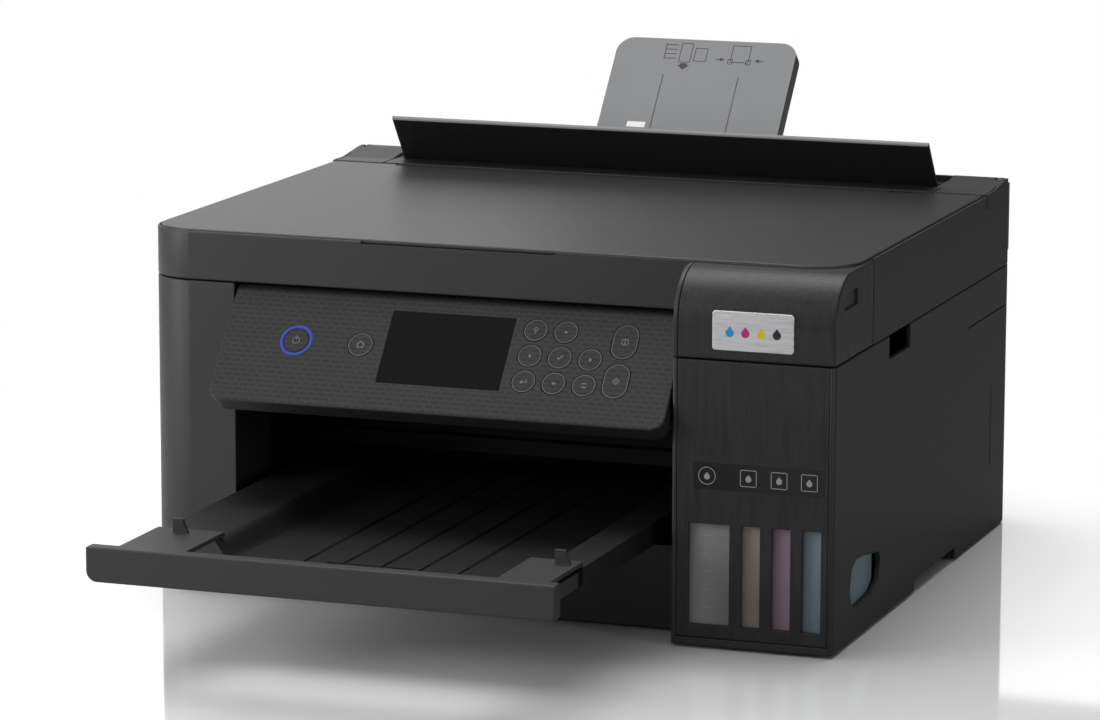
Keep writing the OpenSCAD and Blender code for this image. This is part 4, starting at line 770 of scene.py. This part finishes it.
ON_TANK = 23.95
bm = bmesh.new()
for z, line in ((20, 5.5), (29, 3.2), (38, 3.2), (47, 3.2), (56, 5.5)):
    add_bar(bm, BLACK_X, z, ON_TANK, (-1.0, 0, line, 0.45), PRINT)
place_piece(bm, "level_lines", upright_frame(), tank_ink, "chassis")
print("tank signs", 1 + len(COLOUR_X))

# %% [markdown]
# Five shallow channels run along the tray floor. Their bottoms lie in shade, so a dark strip of
# painted shade, with less sheen than the floor, is laid over each.

# %% Painted shade in the channels of the tray
# painted shade: near-black strips laid over the channel bottoms
channel_painted_shade = plastic("channel_painted_shade", (0.0015, 0.0015, 0.0017), 0.5, sheen_level=0.15)
TRAY_X, CHANNEL_PITCH, CHANNEL_Z = 178.3, 19.8, 50.0
bm = bmesh.new()
for i in range(-2, 3):
    add_bar(bm, TRAY_X + i * CHANNEL_PITCH, 0, CHANNEL_Z, (0, 0, 2.4, 214), 0.03)
place_piece(bm, "tray_channel_shade", ground, channel_painted_shade, "output_tray")
print("channels", CHANNEL_PITCH, "mm apart")

# %% [markdown]
# The paper support shows how sheets go in: plain drawings of a stack, a sheet and its guides,
# with arrows. Thin bars make them, so they read as print and cost almost nothing.

# %% Drawing on the paper support
support_ink = plastic("support_ink", (0.03, 0.03, 0.032), 0.6, edge=0)
ON_SUPPORT = -3.1
PEN = 0.45


def drawn_box(bm, cx, cy, w, h):
    for shape in ((0, h / 2, w, PEN), (0, -h / 2, w, PEN), (w / 2, 0, PEN, h),
                  (-w / 2, 0, PEN, h)):
        add_bar(bm, cx, cy, ON_SUPPORT, shape, PRINT)


bm = bmesh.new()
drawn_box(bm, 176, 77.0, 6.5, 12.5)
drawn_box(bm, 184.8, 76.0, 7.0, 8.5)
drawn_box(bm, 208, 77.5, 10.5, 11.0)
for cx in (202.7, 213.3):
    drawn_box(bm, cx, 72.3, 2.6, 3.0)
for py in (73.0, 76.0, 79.0, 82.0):
    add_bar(bm, 167.2, 0, ON_SUPPORT, (0, py, 6.8, PEN), PRINT)
add_bar(bm, 167.2, 0, ON_SUPPORT, (-3.4, 77.5, PEN, 10.5), PRINT)
add_shape(bm, 176.0, 66.6, ON_SUPPORT, [(-2.0, 3.4), (-2.0, 2.2), (-3.6, 2.2), (0, -0.9),
                                        (3.6, 2.2), (2.0, 2.2), (2.0, 3.4)], PRINT)
for cx, way in ((197.0, 1), (219.0, -1)):
    head = [(2.4, 0), (-0.4, -1.3), (-0.4, -0.25), (-3.0, -0.25), (-3.0, 0.25), (-0.4, 0.25),
            (-0.4, 1.3)]
    add_shape(bm, cx, 73.5, ON_SUPPORT, [(x * way, y) for x, y in head], PRINT)
place_piece(bm, "support_drawing", slope_frame(), support_ink, "paper_support")
mark_white = plastic("mark_white", (0.8, 0.8, 0.78), 0.5, edge=0)
bm = bmesh.new()
add_bar(bm, 157.0, 28.4, ON_SUPPORT, (0, 0, 10.6, 3.6), PRINT)
place_piece(bm, "support_mark", slope_frame(), mark_white, "paper_support")
print("support drawn")

# %% [markdown]
# The printer stands on a polished pale floor in a bright room with a darker right side. Seen by
# the camera the floor is white, and only shade and the mirror image of the printer darken it.
# Seen in the printer's own gloss it fades from pale at the left to dark at the right: painted
# shade in the floor colour, standing in for the darkness that a dark screen at the right would
# bring.

# %% Floor
def fade(tree, value, start, end, low, high):
    ramp = tree.nodes.new("ShaderNodeMapRange")
    ramp.interpolation_type = "SMOOTHSTEP"
    for socket, number in (("From Min", start), ("From Max", end), ("To Min", low),
                           ("To Max", high)):
        ramp.inputs[socket].default_value = number
    tree.links.new(value, ramp.inputs["Value"])
    return ramp.outputs["Result"]


def blend_of(tree, share, first, second):
    mix = tree.nodes.new("ShaderNodeMixShader")
    tree.links.new(share, mix.inputs["Fac"])
    tree.links.new(first, mix.inputs[1])
    tree.links.new(second, mix.inputs[2])
    return mix.outputs["Shader"]


def either(tree, first, second):
    top = tree.nodes.new("ShaderNodeMath")
    top.operation = "MAXIMUM"
    tree.links.new(first, top.inputs[0])
    tree.links.new(second, top.inputs[1])
    return top.outputs["Value"]


def studio_floor(name):
    material, tree, shader, place = begin(name)
    split = tree.nodes.new("ShaderNodeSeparateXYZ")
    tree.links.new(place.outputs["Object"], split.inputs["Vector"])
    # painted shade: the floor colour seen by the printer fades dark towards the right
    grey = fade(tree, split.outputs["X"], -0.6, 0.35, 0.85, 0.2)
    paint = tree.nodes.new("ShaderNodeCombineColor")
    for channel in ("Red", "Green", "Blue"):
        tree.links.new(grey, paint.inputs[channel])
    tree.links.new(paint.outputs["Color"], shader.inputs["Base Color"])
    shader.inputs["Roughness"].default_value = 0.6
    matt = tree.nodes.new("ShaderNodeBsdfDiffuse")
    matt.inputs["Color"].default_value = (1.35, 1.35, 1.35, 1)
    mirror = tree.nodes.new("ShaderNodeBsdfGlossy")
    mirror.inputs["Roughness"].default_value = 0.05
    polish = tree.nodes.new("ShaderNodeMixShader")
    polish.inputs["Fac"].default_value = 0.56
    tree.links.new(matt.outputs["BSDF"], polish.inputs[1])
    tree.links.new(mirror.outputs["BSDF"], polish.inputs[2])
    polished = polish.outputs["Shader"]
    white = tree.nodes.new("ShaderNodeEmission")
    away = tree.nodes.new("ShaderNodeVectorMath")
    away.operation = "LENGTH"
    tree.links.new(place.outputs["Object"], away.inputs[0])
    far = fade(tree, away.outputs["Value"], 0.4, 0.62, 0.0, 1.0)
    seen = blend_of(tree, far, polished, white.outputs["Emission"])
    ray = tree.nodes.new("ShaderNodeLightPath")
    looked_at = either(tree, ray.outputs["Is Camera Ray"], ray.outputs["Is Transmission Ray"])
    both = blend_of(tree, looked_at, shader.outputs["BSDF"], seen)
    tree.links.new(both, tree.nodes["Material Output"].inputs["Surface"])
    return material


bm = bmesh.new()
bmesh.ops.create_grid(bm, x_segments=1, y_segments=1, size=6)
mesh = bpy.data.meshes.new("floor")
bm.to_mesh(mesh)
bm.free()
mesh.materials.append(studio_floor("floor_pale"))
floor = bpy.data.objects.new("floor", mesh)
floor.location = (0, 0, -0.0002)
bpy.context.scene.collection.objects.link(floor)
print("floor", floor.name)

# %% [markdown]
# The polish of the floor needs something white to mirror. A low white card stands behind the
# printer. It glows only in reflections, so the camera and the light on the printer miss it.

# %% White card behind the printer
card_white = bpy.data.materials.new("card_white")
card_white.use_nodes = True
card_tree = card_white.node_tree
glow = card_tree.nodes.new("ShaderNodeEmission")
glow.inputs["Strength"].default_value = 1.0
card_tree.links.new(glow.outputs["Emission"], card_tree.nodes["Material Output"].inputs["Surface"])
bm = bmesh.new()
made = bmesh.ops.create_grid(bm, x_segments=1, y_segments=1, size=0.5)
bmesh.ops.scale(bm, verts=made["verts"], vec=(1.15, 0.2, 1))
bmesh.ops.rotate(bm, verts=made["verts"], matrix=Matrix.Rotation(math.radians(90), 3, "X"))
bmesh.ops.translate(bm, verts=made["verts"], vec=(-0.375, 0.6, 0.1))
mesh = bpy.data.meshes.new("white_card")
bm.to_mesh(mesh)
bm.free()
mesh.materials.append(card_white)
card = bpy.data.objects.new("white_card", mesh)
bpy.context.scene.collection.objects.link(card)
card.visible_camera = card.visible_diffuse = card.visible_shadow = False
print("card", card.name)

# %% [markdown]
# The room is one soft sky that is brightest at the upper left and in front, and dark behind and
# at the right. The camera and clear glass see plain white instead.

# %% World
world = bpy.data.worlds.new("studio")
bpy.context.scene.world = world
world.use_nodes = True
tree = world.node_tree
toward = tree.nodes.new("ShaderNodeTexCoord")
lean = tree.nodes.new("ShaderNodeVectorMath")
lean.operation = "DOT_PRODUCT"
lean.inputs[1].default_value = (-0.75, -0.35, 0.55)
tree.links.new(toward.outputs["Generated"], lean.inputs[0])
soft = tree.nodes["Background"]
soft.inputs["Color"].default_value = (1, 1, 1, 1)
tree.links.new(fade(tree, lean.outputs["Value"], -0.2, 0.95, 0.1, 0.8), soft.inputs["Strength"])
seen = tree.nodes.new("ShaderNodeBackground")
seen.inputs["Color"].default_value = (1, 1, 1, 1)
seen.inputs["Strength"].default_value = 1.0
ray = tree.nodes.new("ShaderNodeLightPath")
looked_at = either(tree, ray.outputs["Is Camera Ray"], ray.outputs["Is Transmission Ray"])
tree.links.new(blend_of(tree, looked_at, soft.outputs["Background"], seen.outputs["Background"]),
               tree.nodes["World Output"].inputs["Surface"])

print("world", world.name)

# %% [markdown]
# Four soft panels do the lighting: a large one overhead, one at the left front for the face, a
# low one behind that skims the lid, and a small one that draws the right-hand edges.

# %% Lamps
def soft_panel(name, at, aim, size, power):
    lamp = bpy.data.lights.new(name, "AREA")
    lamp.shape = "RECTANGLE"
    lamp.size, lamp.size_y = size
    lamp.energy = power
    holder = bpy.data.objects.new(name, lamp)
    holder.location = at
    holder.rotation_mode = "QUATERNION"
    holder.rotation_quaternion = (Vector(aim) - Vector(at)).to_track_quat("-Z", "Y")
    holder.visible_camera = False
    bpy.context.scene.collection.objects.link(holder)


soft_panel("sky_panel", (-0.2, 0.4, 1.8), (0, 0, 0.1), (1.8, 1.2), 23)
soft_panel("left_panel", (-1.2, -1.0, 0.55), (-0.1, -0.1, 0.1), (0.7, 0.8), 9.5)
soft_panel("lid_panel", (-0.9, 1.0, 0.52), (-0.1, 0, 0.19), (1.1, 0.5), 1.9)
soft_panel("edge_panel", (1.5, -0.6, 0.22), (0.18, -0.1, 0.1), (0.3, 0.6), 4.5)
print("lamps", len(bpy.data.lights))

# %% [markdown]
# The camera is a long lens from the front right, a little above the lid. A long lens keeps the
# sides of a box nearly parallel, which is how makers show such machines.

# %% Camera
FOCAL, FRAME_WIDE, SENSOR = 4803.15, 1100, 36
yaw, pitch, roll = (math.radians(a) for a in (19.752, 10.509, 0.129))
ahead = Vector((-math.sin(yaw) * math.cos(pitch), math.cos(yaw) * math.cos(pitch),
                -math.sin(pitch)))
across = Vector((math.cos(yaw), math.sin(yaw), 0))
above = across.cross(ahead)
right = across * math.cos(roll) + above * math.sin(roll)
up = above * math.cos(roll) - across * math.sin(roll)
lens = bpy.data.cameras.new("camera")
lens.sensor_width = SENSOR
lens.lens = SENSOR * FOCAL / FRAME_WIDE
lens.clip_start, lens.clip_end = 0.05, 50
camera = bpy.data.objects.new("camera", lens)
turn = Matrix((right, up, -ahead)).transposed().to_4x4()
camera.matrix_world = Matrix.Translation(spot(1008.26, -2194.25, 564.98)) @ turn
bpy.context.scene.collection.objects.link(camera)
bpy.context.scene.camera = camera
bpy.context.scene.view_settings.view_transform = "Standard"
print("lens", round(lens.lens, 1), "mm")
